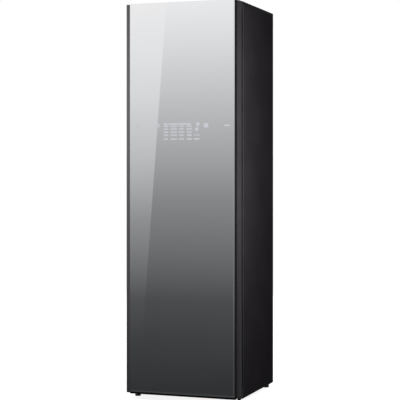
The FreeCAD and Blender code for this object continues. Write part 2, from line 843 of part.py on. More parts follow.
def chamber_liner():
    """one moulded tub: front flange, ribbed rear wall, shelf ledges and the openings its fittings need"""
    body = new_body("chamber_liner")
    outer = "(chamber_half + liner_sheet)"
    tub = pad(body, "xz", "skin_front", "chamber_rear + liner_sheet", rounded(
        f"-{outer}", "plinth_height - liner_sheet", outer, "ceiling + liner_sheet",
        "chamber_round + liner_sheet"))
    pad(body, "xz", "skin_front", "skin_back", rectangle(
        "-skin_half", "skin_seam + fit_gap", "skin_half", "lid_bottom - fit_gap"))
    cut(body, "xz", "skin_front", "chamber_rear", rounded(
        "-chamber_half", "plinth_height", "chamber_half", "ceiling", "chamber_round"))
    pitch = "2*chamber_half/(wall_rib_count + 1)"
    rib = pad(body, "xz", "chamber_rear - wall_rib_depth", "chamber_rear + liner_sheet/2", rounded(
        f"-chamber_half + {pitch} - wall_rib_width/2", "shelf_level + wall_rib_lift",
        f"-chamber_half + {pitch} + wall_rib_width/2", "ceiling - wall_rib_lift", "wall_rib_width/3"))
    repeat(body, [rib], "x", pitch, "wall_rib_count")
    ledge = pad(body, "xz", "shelf_front + shelf_side_gap", "shelf_back - shelf_side_gap", polygon(
        ("chamber_half + liner_sheet/2", "shelf_level - fit_gap"),
        ("chamber_half - ledge_width", "shelf_level - fit_gap"),
        ("chamber_half - ledge_width", "shelf_level - ledge_height/3"),
        ("chamber_half + liner_sheet/2", "shelf_level - ledge_height")))
    mirror(body, [ledge], "yz")
    floor = ("plinth_height - liner_sheet", "plinth_height")
    cut(body, "xy", *floor, circle("nozzle_x", "nozzle_y", "nozzle_spigot + fit_gap"))
    cut(body, "xy", *floor, rectangle(
        "-filter_width/2 - filter_play", "filter_y - filter_thickness/2 - filter_play",
        "filter_width/2 + filter_play", "filter_y + filter_thickness/2 + filter_play"))
    cut(body, "xz", "chamber_rear", "chamber_rear + liner_sheet", rectangle(
        "-outlet_width/2 + outlet_rim", "outlet_bottom + outlet_rim",
        "outlet_width/2 - outlet_rim", "outlet_top - outlet_rim"))
    for side in (-1, 1):
        cut(body, "xy", "ceiling", "ceiling + liner_sheet", arm_slot(side))


def arm_slot(side):
    """the opening that a rail arm sways in"""
    reach = "(arm_radius + rail_stroke + arm_slot_play)"
    width = "(arm_radius + arm_slot_play)"
    return rounded(f"{side}*arm_side - {reach}", f"drive_y - {width}",
                   f"{side}*arm_side + {reach}", f"drive_y + {width}", "arm_radius")


def insulation():
    """foam between the tub and the steel, with room for the air riser"""
    body = new_body("insulation")
    outer = "(half_width - steel - fit_gap)"
    inner = "(chamber_half + liner_sheet + fit_gap)"
    back = "rear_sheet - rear_rib_depth - fit_gap"
    start = "skin_back + fit_gap"
    pad(body, "xy", "plinth_height", "ceiling", polygon(
        (f"-{outer}", start), (f"-{inner}", start), (f"-{inner}", "riser_front"),
        (inner, "riser_front"), (inner, start), (outer, start), (outer, back), (f"-{outer}", back)))
    cut(body, "xy", "plinth_height", "riser_top + fit_gap", rectangle(
        "-riser_half_width - fit_gap", "riser_front", "riser_half_width + fit_gap", back))


def chamber_lights():
    """two upright light bars at the mouth of the chamber"""
    body = new_body("chamber_lights")
    front_edge = "cabinet_front + light_setback"
    bar = pad(body, "xy", "plinth_height + light_lift", "plinth_height + light_lift + light_length",
              polygon(("chamber_half", front_edge), ("chamber_half", f"{front_edge} + light_width"),
                      ("chamber_half - light_depth", f"{front_edge} + light_width*3/4"),
                      ("chamber_half - light_depth", f"{front_edge} + light_width/4")))
    mirror(body, [bar], "yz")


def floor_tray():
    """loose tray on the chamber's floor, slotted at the rear, with a raised rim"""
    body = new_body("floor_tray")
    low = "skin_back + tray_margin"
    high = "chamber_rear - chamber_round - tray_margin"
    pad(body, "xy", "plinth_height", "tray_top", rounded(
        "-tray_half", low, "tray_half", high, "chamber_round"))
    cut(body, "xy", "tray_floor", "tray_top", rounded(
        "-tray_half + tray_margin", f"{low} + tray_margin",
        "tray_half - tray_margin", f"{high} - tray_margin", "chamber_round - tray_margin"))
    through = ("plinth_height", "tray_top")
    cut(body, "xy", *through, circle("nozzle_x", "nozzle_y", "nozzle_spigot + fit_gap"))
    cut(body, "xy", *through, rectangle(
        "-filter_width/2 - filter_play", "filter_y - filter_thickness/2 - filter_play",
        "filter_width/2 + filter_play", "filter_y + filter_thickness/2 + filter_play"))
    first = "-tray_slot_pitch*(tray_slot_count - 1)/2"
    slot = cut(body, "xy", *through, rectangle(
        f"{first} - tray_slot_width/2", f"{high} - tray_slot_rear - tray_slot_length",
        f"{first} + tray_slot_width/2", f"{high} - tray_slot_rear"))
    repeat(body, [slot], "x", "tray_slot_pitch", "tray_slot_count")


def steam_nozzle():
    """domed nozzle with a cross of slits, its spigot through the floor"""
    body = new_body("steam_nozzle")
    place(body, "nozzle_x", "nozzle_y", "plinth_height")
    seat = "(tray_floor - plinth_height)"
    turn(body, "xz", polygon(
        (0, "-nozzle_spigot_length"), ("nozzle_spigot", "-nozzle_spigot_length"),
        ("nozzle_spigot", seat), ("nozzle_radius", seat), ("nozzle_radius", f"{seat} + nozzle_rise/4"),
        ("nozzle_radius*3/4", f"{seat} + nozzle_rise*3/4"), ("nozzle_radius/3", f"{seat} + nozzle_rise"),
        (0, f"{seat} + nozzle_rise")))
    cut(body, "xy", "-nozzle_spigot_length", f"{seat} + nozzle_rise/2", circle(0, 0, "nozzle_bore"))
    slit = "nozzle_bore/4"
    for across, up in ((slit, "nozzle_bore"), ("nozzle_bore", slit)):
        cut(body, "xy", f"{seat} + nozzle_rise/4", f"{seat} + nozzle_rise",
            rectangle(f"-{across}", f"-{up}", across, up))


def air_outlet_grille():
    """rim and slanted blades over the outlet in the rear wall"""
    body = new_body("air_outlet_grille")
    face = "chamber_rear - outlet_depth"
    inner = "(outlet_width/2 - outlet_rim)"
    pad(body, "xz", face, "chamber_rear",
        rounded("-outlet_width/2", "outlet_bottom", "outlet_width/2", "outlet_top", "outlet_rim"),
        rectangle(f"-{inner}", "outlet_bottom + outlet_rim", inner, "outlet_top - outlet_rim"))
    start = "outlet_bottom + outlet_rim*3/2"
    blade = pad(body, "yz", f"-{inner} - outlet_rim/2", f"{inner} + outlet_rim/2", polygon(
        (f"{face} + blade_sheet", start), ("chamber_rear - blade_sheet", f"{start} + outlet_depth/2"),
        ("chamber_rear - blade_sheet", f"{start} + outlet_depth/2 + blade_sheet"),
        (f"{face} + blade_sheet", f"{start} + blade_sheet")))
    repeat(body, [blade], "z", "blade_pitch", "blade_count")


def shelf_rack():
    """wire shelf lying on the tub's ledges"""
    body = new_body("shelf_rack")
    half = "shelf_half"
    level = "(shelf_level + shelf_rod_radius)"
    for side in (-1, 1):
        pad(body, "xz", "shelf_front", "shelf_back", circle(f"{side}*{half}", level, "shelf_rod_radius"))
    for end in ("shelf_front + shelf_rod_radius", "shelf_back - shelf_rod_radius"):
        pad(body, "yz", f"-{half}", half, circle(end, level, "shelf_rod_radius"))
    pitch = "2*shelf_half/(shelf_wire_count + 1)"
    wire = pad(body, "xz", "shelf_front + shelf_rod_radius", "shelf_back - shelf_rod_radius",
               circle(f"-{half} + {pitch}", level, "shelf_wire_radius"))
    repeat(body, [wire], "x", pitch, "shelf_wire_count")


def lint_filter():
    """upright cassette with a fine mesh, lifted out by the loop on its flange"""
    body = new_body("lint_filter")
    half = "filter_width/2"
    low = "(tray_floor - filter_depth)"
    near = "filter_y - filter_thickness/2"
    far = "filter_y + filter_thickness/2"
    top = "(tray_floor + filter_flange_height)"
    pad(body, "xz", near, far, rectangle(f"-{half}", low, half, "tray_floor"))
    bay = "(filter_width - filter_rim*(filter_window_count + 1))/filter_window_count"
    window = cut(body, "xz", near, far, rectangle(
        f"-{half} + filter_rim", f"{low} + filter_rim", f"-{half} + filter_rim + {bay}",
        "plinth_height - filter_rim"))
    repeat(body, [window], "x", f"{bay} + filter_rim", "filter_window_count")
    pad(body, "xz", "filter_y - mesh_sheet/2", "filter_y + mesh_sheet/2",
        rectangle(f"-{half} + filter_rim/2", f"{low} + filter_rim/2",
                  f"{half} - filter_rim/2", "plinth_height"))
    pad(body, "xy", "tray_floor", top, rounded(
        f"-{half} - filter_flange", f"{near} - filter_flange",
        f"{half} + filter_flange", f"{far} + filter_flange", "filter_flange/2"))
    grip = "(filter_handle_width/2)"
    inner = "(filter_handle_width/2 - filter_handle_sheet)"
    rise = "filter_handle_height"
    pad(body, "xz", "filter_y - filter_handle_sheet/2", "filter_y + filter_handle_sheet/2", polygon(
        (f"-{grip}", top), (f"-{inner}", top), (f"-{inner}", f"{top} + {rise} - filter_handle_sheet"),
        (inner, f"{top} + {rise} - filter_handle_sheet"), (inner, top), (grip, top),
        (f"{grip} - filter_handle_sheet/2", f"{top} + {rise}"),
        (f"-{grip} + filter_handle_sheet/2", f"{top} + {rise}")))


# ---- hanger drive ----

def drive_base():
    """folded cross member over the tub, with the rod posts"""
    body = new_body("drive_base")
    edge = "(half_width - steel - fit_gap)"
    rear_edge = "drive_front + drive_length"
    pad(body, "xy", "drive_floor", "drive_top",
        rectangle(f"-{edge}", "drive_front", edge, rear_edge))
    for near, far in (("drive_front", "drive_front + drive_sheet"),
                      (f"{rear_edge} - drive_sheet", rear_edge)):
        pad(body, "xz", near, far, rectangle(f"-{edge}", "drive_floor", edge, "drive_top + drive_flange"))
    for side in (-1, 1):
        cut(body, "xy", "drive_floor", "drive_top", arm_slot(side))
        inner = f"{side}*(rod_half_length - rod_post_thickness)"
        outer = f"{side}*rod_half_length"
        low, high = (inner, outer) if side > 0 else (outer, inner)
        for rod in (-1, 1):
            middle = f"(drive_y + {rod}*rod_spacing/2)"
            pad(body, "yz", low, high, rounded(
                f"{middle} - rod_post_width/2", "drive_floor + drive_sheet/2",
                f"{middle} + rod_post_width/2", "rod_z + rod_post_width/2", "drive_sheet/3"))
            cut(body, "yz", low, high, circle(middle, "rod_z", "rod_radius"))


def guide_rods():
    body = new_body("guide_rods")
    place(body, 0, "drive_y", "rod_z")
    rod = pad(body, "yz", "-rod_half_length", "rod_half_length",
              circle("rod_spacing/2", 0, "rod_radius"))
    mirror(body, [rod], "xz")


def rail_carriage():
    """plate on four bored bearing blocks, with a yoke on top whose blind slot takes the crank's pin"""
    body = new_body("rail_carriage")
    half_depth = "carriage_width/2"
    pad(body, "xy", "carriage_bottom", "carriage_top", rounded(
        "-carriage_half_length", f"drive_y - {half_depth}",
        "carriage_half_length", f"drive_y + {half_depth}", "bearing_size/2"))
    for side in (-1, 1):
        low = f"{side}*bearing_side - bearing_length/2"
        high = f"{side}*bearing_side + bearing_length/2"
        for rod in (-1, 1):
            middle = f"(drive_y + {rod}*rod_spacing/2)"
            pad(body, "yz", low, high, rectangle(
                f"{middle} - bearing_size/2", "rod_z - bearing_size/2",
                f"{middle} + bearing_size/2", "carriage_bottom + carriage_sheet/2"))
            cut(body, "yz", low, high, circle(middle, "rod_z", "rod_radius + running_gap"))
    slot = "(crank_pin_radius + crank_pin_play)"
    run = "(crank_throw + crank_pin_radius + crank_pin_play)"
    pad(body, "xy", "carriage_top", "yoke_top", rounded(
        f"-{slot} - yoke_wall", f"drive_y - {run} - yoke_wall",
        f"{slot} + yoke_wall", f"drive_y + {run} + yoke_wall", slot))
    cut(body, "xy", "carriage_top", "yoke_top", rounded(
        f"-{slot}", f"drive_y - {run}", slot, f"drive_y + {run}", "crank_pin_radius"))


def hanger_rail():
    """notched rail on two arms that go up through the ceiling to the carriage"""
    body = new_body("hanger_rail")
    depth = "rail_depth/2"
    pad(body, "yz", "-rail_half", "rail_half", rounded(
        f"drive_y - {depth}", "rail_top - rail_height", f"drive_y + {depth}", "rail_top", "rail_round"))
    for side in (-1, 1):
        pad(body, "xy", "rail_top - rail_height/2", "carriage_bottom",
            circle(f"{side}*arm_side", "drive_y", "arm_radius"))
    first = "-notch_pitch*(notch_count - 1)/2"
    notch = cut(body, "xz", f"drive_y - {depth}", f"drive_y + {depth}", polygon(
        (f"{first} - notch_width/2", "rail_top"), (f"{first} - notch_width/6", "rail_top - notch_depth"),
        (f"{first} + notch_width/6", "rail_top - notch_depth"), (f"{first} + notch_width/2", "rail_top")))
    repeat(body, [notch], "x", "notch_pitch", "notch_count")


def crank_disc():
    """disc with its shaft in the motor and its pin in the carriage's yoke"""
    body = new_body("crank_disc")
    place(body, 0, "drive_y", "crank_bottom")
    pad(body, "xy", 0, "crank_disc", circle(0, 0, "crank_radius"))
    pad(body, "xy", "carriage_top + fit_gap - crank_bottom", 0, circle(0, "-crank_throw", "crank_pin_radius"))
    pad(body, "xy", "crank_disc", "crank_disc + crank_shaft_length", circle(0, 0, "crank_shaft_radius"))


def motor_bridge():
    """hat-shaped bracket over the carriage"""
    body = new_body("motor_bridge")
    half = "bridge_half_width"
    low = "drive_top"
    top = "bridge_top"
    pad(body, "yz", "-bridge_length/2", "bridge_length/2", polygon(
        (f"drive_y - {half} - bridge_foot", low), (f"drive_y - {half} + drive_sheet", low),
        (f"drive_y - {half} + drive_sheet", top), (f"drive_y + {half} - drive_sheet", top),
        (f"drive_y + {half} - drive_sheet", low), (f"drive_y + {half} + bridge_foot", low),
        (f"drive_y + {half} + bridge_foot", f"{low} + drive_sheet"),
        (f"drive_y + {half}", f"{low} + drive_sheet"), (f"drive_y + {half}", f"{top} + drive_sheet"),
        (f"drive_y - {half}", f"{top} + drive_sheet"), (f"drive_y - {half}", f"{low} + drive_sheet"),
        (f"drive_y - {half} - bridge_foot", f"{low} + drive_sheet")))
    cut(body, "xy", top, f"{top} + drive_sheet", circle(
        0, "drive_y", "crank_shaft_radius + crank_shaft_play"))


def drive_motor():
    """round geared motor on a square flange, bored for the crank's shaft"""
    body = new_body("drive_motor")
    place(body, 0, "drive_y", "bridge_top + drive_sheet")
    half = "motor_flange_size/2"
    pad(body, "xy", 0, "motor_flange", rounded(f"-{half}", f"-{half}", half, half, "motor_flange*2"))
    turn(body, "xz", polygon(
        (0, "motor_flange"), ("motor_radius", "motor_flange"), ("motor_radius", "motor_gear_height"),
        ("motor_cap_radius", "motor_gear_height + motor_flange"),
        ("motor_cap_radius", "motor_height - motor_flange"),
        ("motor_cap_radius - motor_flange", "motor_height"), (0, "motor_height")))
    cut(body, "xy", 0, "crank_shaft_length - bridge_gap", circle(0, 0, "crank_shaft_radius + running_gap"))


# ---- water tanks ----

def tank_bay():
    """moulded front of the plinth with one pocket for each tank"""
    body = new_body("tank_bay")
    pad(body, "xz", "skin_front", "skin_back", rectangle(
        "-skin_half", "base_top + fit_gap", "skin_half", "skin_seam"))
    pad(body, "xz", "skin_front", "bay_back", rounded(
        "-bay_half", "bay_bottom", "bay_half", "bay_top", "tank_round"))
    for side in (-1, 1):
        inner = f"{side}*bay_divider/2"
        outer = f"{side}*(bay_half - liner_sheet)"
        low, high = (inner, outer) if side > 0 else (outer, inner)
        cut(body, "xz", "skin_front", "bay_back - liner_sheet", rounded(
            low, "bay_bottom + liner_sheet", high, "bay_top - liner_sheet", "tank_side_play"))


def tank(label, side):
    """open tub with a bridge handle on its front"""
    body = new_body(label)
    inner = f"{side}*tank_inner"
    outer = f"{side}*tank_outer"
    low, high = (inner, outer) if side > 0 else (outer, inner)
    middle = f"({side}*(tank_inner + tank_outer)/2)"
    pad(body, "xy", "tank_bottom", "tank_top", rounded(low, "tank_front", high, "tank_back", "tank_round"))
    cut(body, "xy", "tank_bottom + tank_wall", "tank_top", rounded(
        f"{low} + tank_wall", "tank_front + tank_wall", f"{high} - tank_wall",
        "tank_back - tank_wall", "tank_round - tank_wall"))
    half = "tank_grip_width/2"
    bar = "tank_grip_sheet"
    root = "tank_front + tank_wall/2"
    face = "(tank_front - tank_grip_depth)"
    pad(body, "xy", "tank_grip_z", "tank_grip_z + tank_grip_height", polygon(
        (f"{middle} - {half}", root), (f"{middle} - {half}", f"{face} + {bar}"),
        (f"{middle} - {half} + {bar}", face), (f"{middle} + {half} - {bar}", face),
        (f"{middle} + {half}", f"{face} + {bar}"), (f"{middle} + {half}", root),
        (f"{middle} + {half} - {bar}", root), (f"{middle} + {half} - {bar}", f"{face} + {bar}"),
        (f"{middle} - {half} + {bar}", f"{face} + {bar}"), (f"{middle} - {half} + {bar}", root)))


def tank_lid(label, side):
    """lid that drops into the tub, with a round filler cap"""
    body = new_body(label)
    inner = f"{side}*tank_inner"
    outer = f"{side}*tank_outer"
    low, high = (inner, outer) if side > 0 else (outer, inner)
    middle = f"({side}*(tank_inner + tank_outer)/2)"
    pad(body, "xy", "tank_top", "tank_top + tank_lid", rounded(
        low, "tank_front", high, "tank_back", "tank_round"))
    inset = "(tank_wall + fit_gap)"
    pad(body, "xy", "tank_top - tank_lid", "tank_top", rounded(
        f"{low} + {inset}", f"tank_front + {inset}", f"{high} - {inset}", f"tank_back - {inset}",
        f"tank_round - {inset}"))
    pad(body, "xy", "tank_top + tank_lid", "tank_top + tank_lid + tank_cap_height",
        circle(middle, "(tank_front + tank_back)/2", "tank_cap_radius"))


# ---- air path and heat pump ----

def heat_pump_duct():
    """elbow from the lint filter down and back past both coils to the blower"""
    body = new_body("heat_pump_duct")
    half = "duct_half"
    neck = "duct_front + duct_neck"
    top = "skin_seam"
    pad(body, "yz", f"-{half}", half, polygon(
        ("duct_front", "duct_bottom"), ("duct_back", "duct_bottom"), ("duct_back", "duct_top"),
        (neck, "duct_top"), (neck, top), ("duct_front", top)))
    wall = "duct_sheet"
    cut(body, "yz", f"-{half} + {wall}", f"{half} - {wall}", polygon(
        (f"duct_front + {wall}", f"duct_bottom + {wall}"), (f"duct_back - {wall}", f"duct_bottom + {wall}"),
        (f"duct_back - {wall}", f"duct_top - {wall}"), (f"{neck} - {wall}", f"duct_top - {wall}"),
        (f"{neck} - {wall}", top), (f"duct_front + {wall}", top)))
    cut(body, "xz", f"duct_back - {wall}", "duct_back", circle(0, "blower_height", "blower_inlet"))
    for row in ("evaporator_y", "condenser_y"):
        cut(body, "xy", f"duct_top - {wall}", "duct_top",
            circle("header_x", row, "pipe_radius + fit_gap"), circle("-header_x", row, "pipe_radius + fit_gap"))
    leg = "duct_half/6"
    for side in (-1, 1):
        for spot in ("duct_front + duct_neck/2", f"duct_back - {leg}"):
            pad(body, "xy", "base_floor", f"duct_bottom + {wall}/2", rectangle(
                f"{side}*({half} - {leg}) - {leg}/2", f"{spot} - {leg}/2",
                f"{side}*({half} - {leg}) + {leg}/2", f"{spot} + {leg}/2"))


def coil(label, middle):
    """flat tubes between two upright headers"""
    body = new_body(label)
    half = "coil_half"
    for side in (-1, 1):
        pad(body, "xy", "duct_bottom + duct_sheet", "coil_top",
            circle(f"{side}*header_x", middle, "coil_header_radius"))
    first = "coil_bottom + coil_tube"
    tube = pad(body, "yz", f"-{half} + coil_header_radius", f"{half} - coil_header_radius", rectangle(
        f"{middle} - coil_depth/2", first, f"{middle} + coil_depth/2", f"{first} + coil_tube"))
    repeat(body, [tube], "z", "coil_tube_pitch", "coil_tube_count")


def blower_housing():
    """snail-shaped housing with its mouth upwards"""
    body = new_body("blower_housing")
    low, high = "blower_front", "blower_back"
    wall = "blower_sheet"
    side = "(blower_radius - blower_mouth)"
    pad(body, "xz", low, high, rectangle(
        "-blower_radius/2", "base_floor", "blower_radius/2", "blower_height - blower_radius*3/4"))
    pad(body, "xz", low, high, circle(0, "blower_height", "blower_radius"))
    pad(body, "xz", low, high, rectangle(side, "blower_height", "blower_radius", "riser_bottom"))
    inner_low, inner_high = f"{low} + {wall}", f"{high} - {wall}"
    cut(body, "xz", inner_low, inner_high, circle(0, "blower_height", f"blower_radius - {wall}"))
    cut(body, "xz", inner_low, inner_high, rectangle(
        f"{side} + {wall}", "blower_height", f"blower_radius - {wall}", "riser_bottom"))
    cut(body, "xz", low, inner_low, circle(0, "blower_height", "blower_inlet"))
    cut(body, "xz", inner_high, high, circle(0, "blower_height", "wheel_shaft_radius + wheel_shaft_play"))


def blower_wheel():
    """drum of upright blades on a back plate, with its shaft in the motor"""
    body = new_body("blower_wheel")
    place(body, 0, "blower_back - blower_sheet - wheel_back_gap", "blower_height")
    sheet = "wheel_blade_sheet"
    pad(body, "xz", f"-{sheet}", 0, circle(0, 0, "wheel_radius"))
    blade = pad(body, "xz", "-wheel_depth", f"-{sheet}", rectangle(
        "wheel_radius - wheel_blade_depth", f"-{sheet}/2", f"wheel_radius - {sheet}/2", f"{sheet}/2"))
    ring(body, [blade], "y", "wheel_blade_count")
    pad(body, "xz", "-wheel_depth", f"-wheel_depth + {sheet}", circle(0, 0, "wheel_radius"),
        circle(0, 0, "wheel_radius - wheel_blade_depth/2"))
    pad(body, "xz", 0, "wheel_back_gap + blower_sheet + wheel_shaft_length", circle(
        0, 0, "wheel_shaft_radius"))


def blower_motor():
    body = new_body("blower_motor")
    place(body, 0, "blower_back", "blower_height")
    pad(body, "xz", 0, "blower_motor_depth", circle(0, 0, "blower_motor_radius"))
    cut(body, "xz", 0, "wheel_shaft_length + blower_sheet", circle(0, 0, "wheel_shaft_radius + running_gap"))


def air_riser():
    """plenum that leads the blower's air up behind the tub to the outlet"""
    body = new_body("air_riser")
    half = "riser_half_width"
    wall = "duct_sheet"
    neck = "skin_seam - 2*fit_gap"
    pad(body, "yz", f"-{half}", half, polygon(
        ("blower_front", "riser_bottom"), ("riser_back", "riser_bottom"), ("riser_back", "riser_top"),
        ("riser_front", "riser_top"), ("riser_front", neck), ("blower_front", neck)))
    cut(body, "yz", f"-{half} + {wall}", f"{half} - {wall}", polygon(
        (f"blower_front + {wall}", f"riser_bottom + {wall}"),
        (f"riser_back - {wall}", f"riser_bottom + {wall}"),
        (f"riser_back - {wall}", f"riser_top - {wall}"),
        (f"riser_front + {wall}", f"riser_top - {wall}"),
        (f"riser_front + {wall}", f"{neck} - {wall}"), (f"blower_front + {wall}", f"{neck} - {wall}")))
    cut(body, "xz", "riser_front", f"riser_front + {wall}", rectangle(
        f"-{half} + outlet_rim", "outlet_bottom + outlet_rim",
        f"{half} - outlet_rim", "outlet_top - outlet_rim"))
    cut(body, "xy", "riser_bottom", f"riser_bottom + {wall}", rectangle(
        "blower_radius - blower_mouth + blower_sheet", "blower_front + blower_sheet",
        "blower_radius - blower_sheet", "blower_back - blower_sheet"))


def compressor():
    """welded can with a seam, on a plate that carries the rubber mounts"""
    body = new_body("compressor")
    place(body, "compressor_x", "compressor_y", "compressor_z")
    radius, height, shoulder = "compressor_radius", "compressor_height", "compressor_shoulder"
    seam = "(compressor_height/2)"
    turn(body, "xz", polygon(
        (0, 0), (f"{radius} - {shoulder}", 0), (radius, shoulder), (radius, f"{seam} - compressor_seam"),
        (f"{radius} + compressor_seam", f"{seam} - compressor_seam"),
        (f"{radius} + compressor_seam", f"{seam} + compressor_seam"),
        (radius, f"{seam} + compressor_seam"), (radius, f"{height} - 2*{shoulder}"),
        (f"{radius} - {shoulder}/2", f"{height} - {shoulder}"),
        (f"{radius} - 2*{shoulder}", f"{height} - {shoulder}/4"), (0, height)))
    half, deep = "compressor_plate_width/2", "compressor_plate_depth/2"
    pad(body, "xy", "-compressor_plate", 0, rounded(f"-{half}", f"-{deep}", half, deep, "mount_radius"))
    for stub in ("evaporator_y", "condenser_y"):
        pad(body, "xy", f"{height} - 3*{shoulder}", height,
            circle(0, f"{stub} - compressor_y", "pipe_radius + pipe_stub_wall"))


def compressor_mounts():
    """waisted rubber bushes under the plate's corners"""
    body = new_body("compressor_mounts")
    place(body, "compressor_x", "compressor_y", "base_floor")
    across = "compressor_plate_width/2 - mount_radius"
    deep = "compressor_plate_depth/2 - mount_radius"
    for side in (-1, 1):
        for end in (-1, 1):
            spot = (f"{side}*({across})", f"{end}*({deep})")
            pad(body, "xy", 0, "mount_height/3", circle(*spot, "mount_radius"))
            pad(body, "xy", "mount_height/3", "mount_height*2/3", circle(*spot, "mount_radius - mount_waist"))
            pad(body, "xy", "mount_height*2/3", "mount_height", circle(*spot, "mount_radius"))


def elbow(body, along, corner, level, row, radius, bend, across, up):
    """quarter bend of a pipe in an upright plane; across and up are the signs of the ways to its runs"""
    sketch = new_sketch(body, "xy", f"{level} + {up}*{bend}")
    sketch.setExpression(f"AttachmentOffset.Base.{along}", bind(f"{corner} + {across}*{bend}"))
    spot = (f"{-across}*{bend}", row) if along == "x" else (row, f"{-across}*{bend}")
    draw_circle(sketch, *spot, radius)
    bent = body.newObject("PartDesign::Revolution", f"{body.Label}_elbow")
    bent.Profile = sketch
    bent.ReferenceAxis = (sketch, ["V_Axis" if along == "x" else "H_Axis"])
    bent.Angle = 90
    bent.Reversed = (across == up) == (along == "x")


def arch(body, along, row, near, far, level, feet):
    """refrigerant pipe over two upright legs"""
    bend, radius = "pipe_bend", "pipe_radius"
    for column, foot in zip((near, far), feet):
        spot = (column, row) if along == "x" else (row, column)
        pad(body, "xy", foot, f"{level} - {bend}", circle(*spot, radius))
    pad(body, "yz" if along == "x" else "xz", f"{near} + {bend}", f"{far} - {bend}",
        circle(row, level, radius))
    elbow(body, along, near, level, row, radius, bend, 1, -1)
    elbow(body, along, far, level, row, radius, bend, -1, -1)


def refrigerant_pipes():
    """one pipe from the compressor to each coil, and the line between the coils"""
    body = new_body("refrigerant_pipes")
    level = "(compressor_top + pipe_rise)"
    for row in ("evaporator_y", "condenser_y"):
        arch(body, "x", row, "header_x", "compressor_x", level, ("coil_top", "compressor_top"))
    arch(body, "y", "-header_x", "evaporator_y", "condenser_y", "(duct_top + pipe_rise/2)",
         ("coil_top", "coil_top"))


# ---- steam, water and electrics ----

def steam_generator():
    """two cast halves bolted at a flange, with the outlet spigot on top"""
    body = new_body("steam_generator")
    place(body, "boiler_x", "boiler_y", 0)
    half, deep = "boiler_width/2", "boiler_depth/2"
    pad(body, "xy", "base_floor", "boiler_top", rounded(
        f"-{half}", f"-{deep}", half, deep, "boiler_round"))
    seam = "(base_floor + boiler_height/2)"
    lip = "boiler_flange"
    pad(body, "xy", f"{seam} - {lip}", f"{seam} + {lip}", rounded(
        f"-{half} - {lip}", f"-{deep} - {lip}", f"{half} + {lip}", f"{deep} + {lip}", "boiler_round"))
    pad(body, "xy", "boiler_top", "boiler_top + 2*boiler_spigot",
        circle("nozzle_x - boiler_x", 0, "boiler_spigot"))


def steam_pipe():
    """rigid hose with two bends from the generator's spigot up to the nozzle's"""
    body = new_body("steam_pipe")
    radius, bend = "steam_pipe_radius", "steam_pipe_bend"
    start, end = "(boiler_top + 2*boiler_spigot)", "(plinth_height - nozzle_spigot_length)"
    level = f"({start} + {end})/2"
    pad(body, "xy", start, f"{level} - {bend}", circle("nozzle_x", "boiler_y", radius))
    pad(body, "xz", f"nozzle_y + {bend}", f"boiler_y - {bend}", circle("nozzle_x", level, radius))
    pad(body, "xy", f"{level} + {bend}", end, circle("nozzle_x", "nozzle_y", radius))
    elbow(body, "y", "boiler_y", level, "nozzle_x", radius, bend, -1, -1)
    elbow(body, "y", "nozzle_y", level, "nozzle_x", radius, bend, 1, 1)


def pumps():
    """supply pump and drain pump side by side"""
    body = new_body("pumps")
    place(body, "-half_width + pump_inset", "pump_y", "base_floor")
    volute = pad(body, "xy", 0, "pump_volute_height", circle(0, 0, "pump_volute_radius"))
    motor = pad(body, "xy", "pump_volute_height", "pump_height", circle(0, 0, "pump_radius"))
    spigot = pad(body, "xz", "-pump_volute_radius - pump_spigot_length", 0, circle(
        "pump_volute_radius - pump_spigot_radius", "pump_volute_height/2", "pump_spigot_radius"))
    repeat(body, [volute, motor, spigot], "x", "pump_pitch", "pump_count")


def control_board():
    """circuit board with its larger parts in an open tray on the right side panel"""
    body = new_body("control_board")
    back = "half_width - steel - fit_gap"
    tray_front = f"{back} - board_tray"
    low, high = "board_y - board_width/2", "board_y + board_width/2"
    pad(body, "yz", tray_front, back, rectangle(low, "board_bottom", high, "board_bottom + board_height"))
    wall = "board_tray_wall"
    cut(body, "yz", tray_front, f"{back} - {wall}", rectangle(
        f"{low} + {wall}", f"board_bottom + {wall}", f"{high} - {wall}",
        f"board_bottom + board_height - {wall}"))
    floor = f"{back} - {wall}"
    pad(body, "yz", f"{floor} - board_sheet", floor, rectangle(
        f"{low} + {wall}", f"board_bottom + {wall}", f"{high} - {wall}",
        f"board_bottom + board_height - {wall}"))
    chip = pad(body, "yz", f"{floor} - board_sheet - board_chip_rise", f"{floor} - board_sheet", rectangle(
        "board_y - board_chip/2", "board_bottom + board_chip",
        "board_y + board_chip/2", "board_bottom + 2*board_chip"))
    repeat(body, [chip], "z", "2*board_chip", "board_chip_count")


# ---- door ----

def door_glass():
    """mirror sheet with a fine bevel all round its front"""
    body = new_body("door_glass")
    sheet = pad(body, "xz", "front", "glass_back",
                rectangle("glass_left", "glass_bottom", "glass_right", "door_top"))
    face = edges(sheet, "x", y=["front"]) + edges(sheet, "z", y=["front"])
    bevel_edges(body, sheet, face, "glass_bevel")


def door_edge_trim():
    """dark frame behind the glass, with a lip under its lower edge"""
    body = new_body("door_edge_trim")
    pad(body, "xz", "glass_back", "trim_back",
        rectangle("glass_left", "door_lift", "glass_right", "door_top"),
        rectangle("glass_left + trim_width", "door_lift + trim_width",
                  "glass_right - trim_width", "door_top - trim_width"))
    pad(body, "xz", "front + glass_bevel", "glass_back",
        rectangle("glass_left", "door_lift", "glass_right", "glass_bottom"))


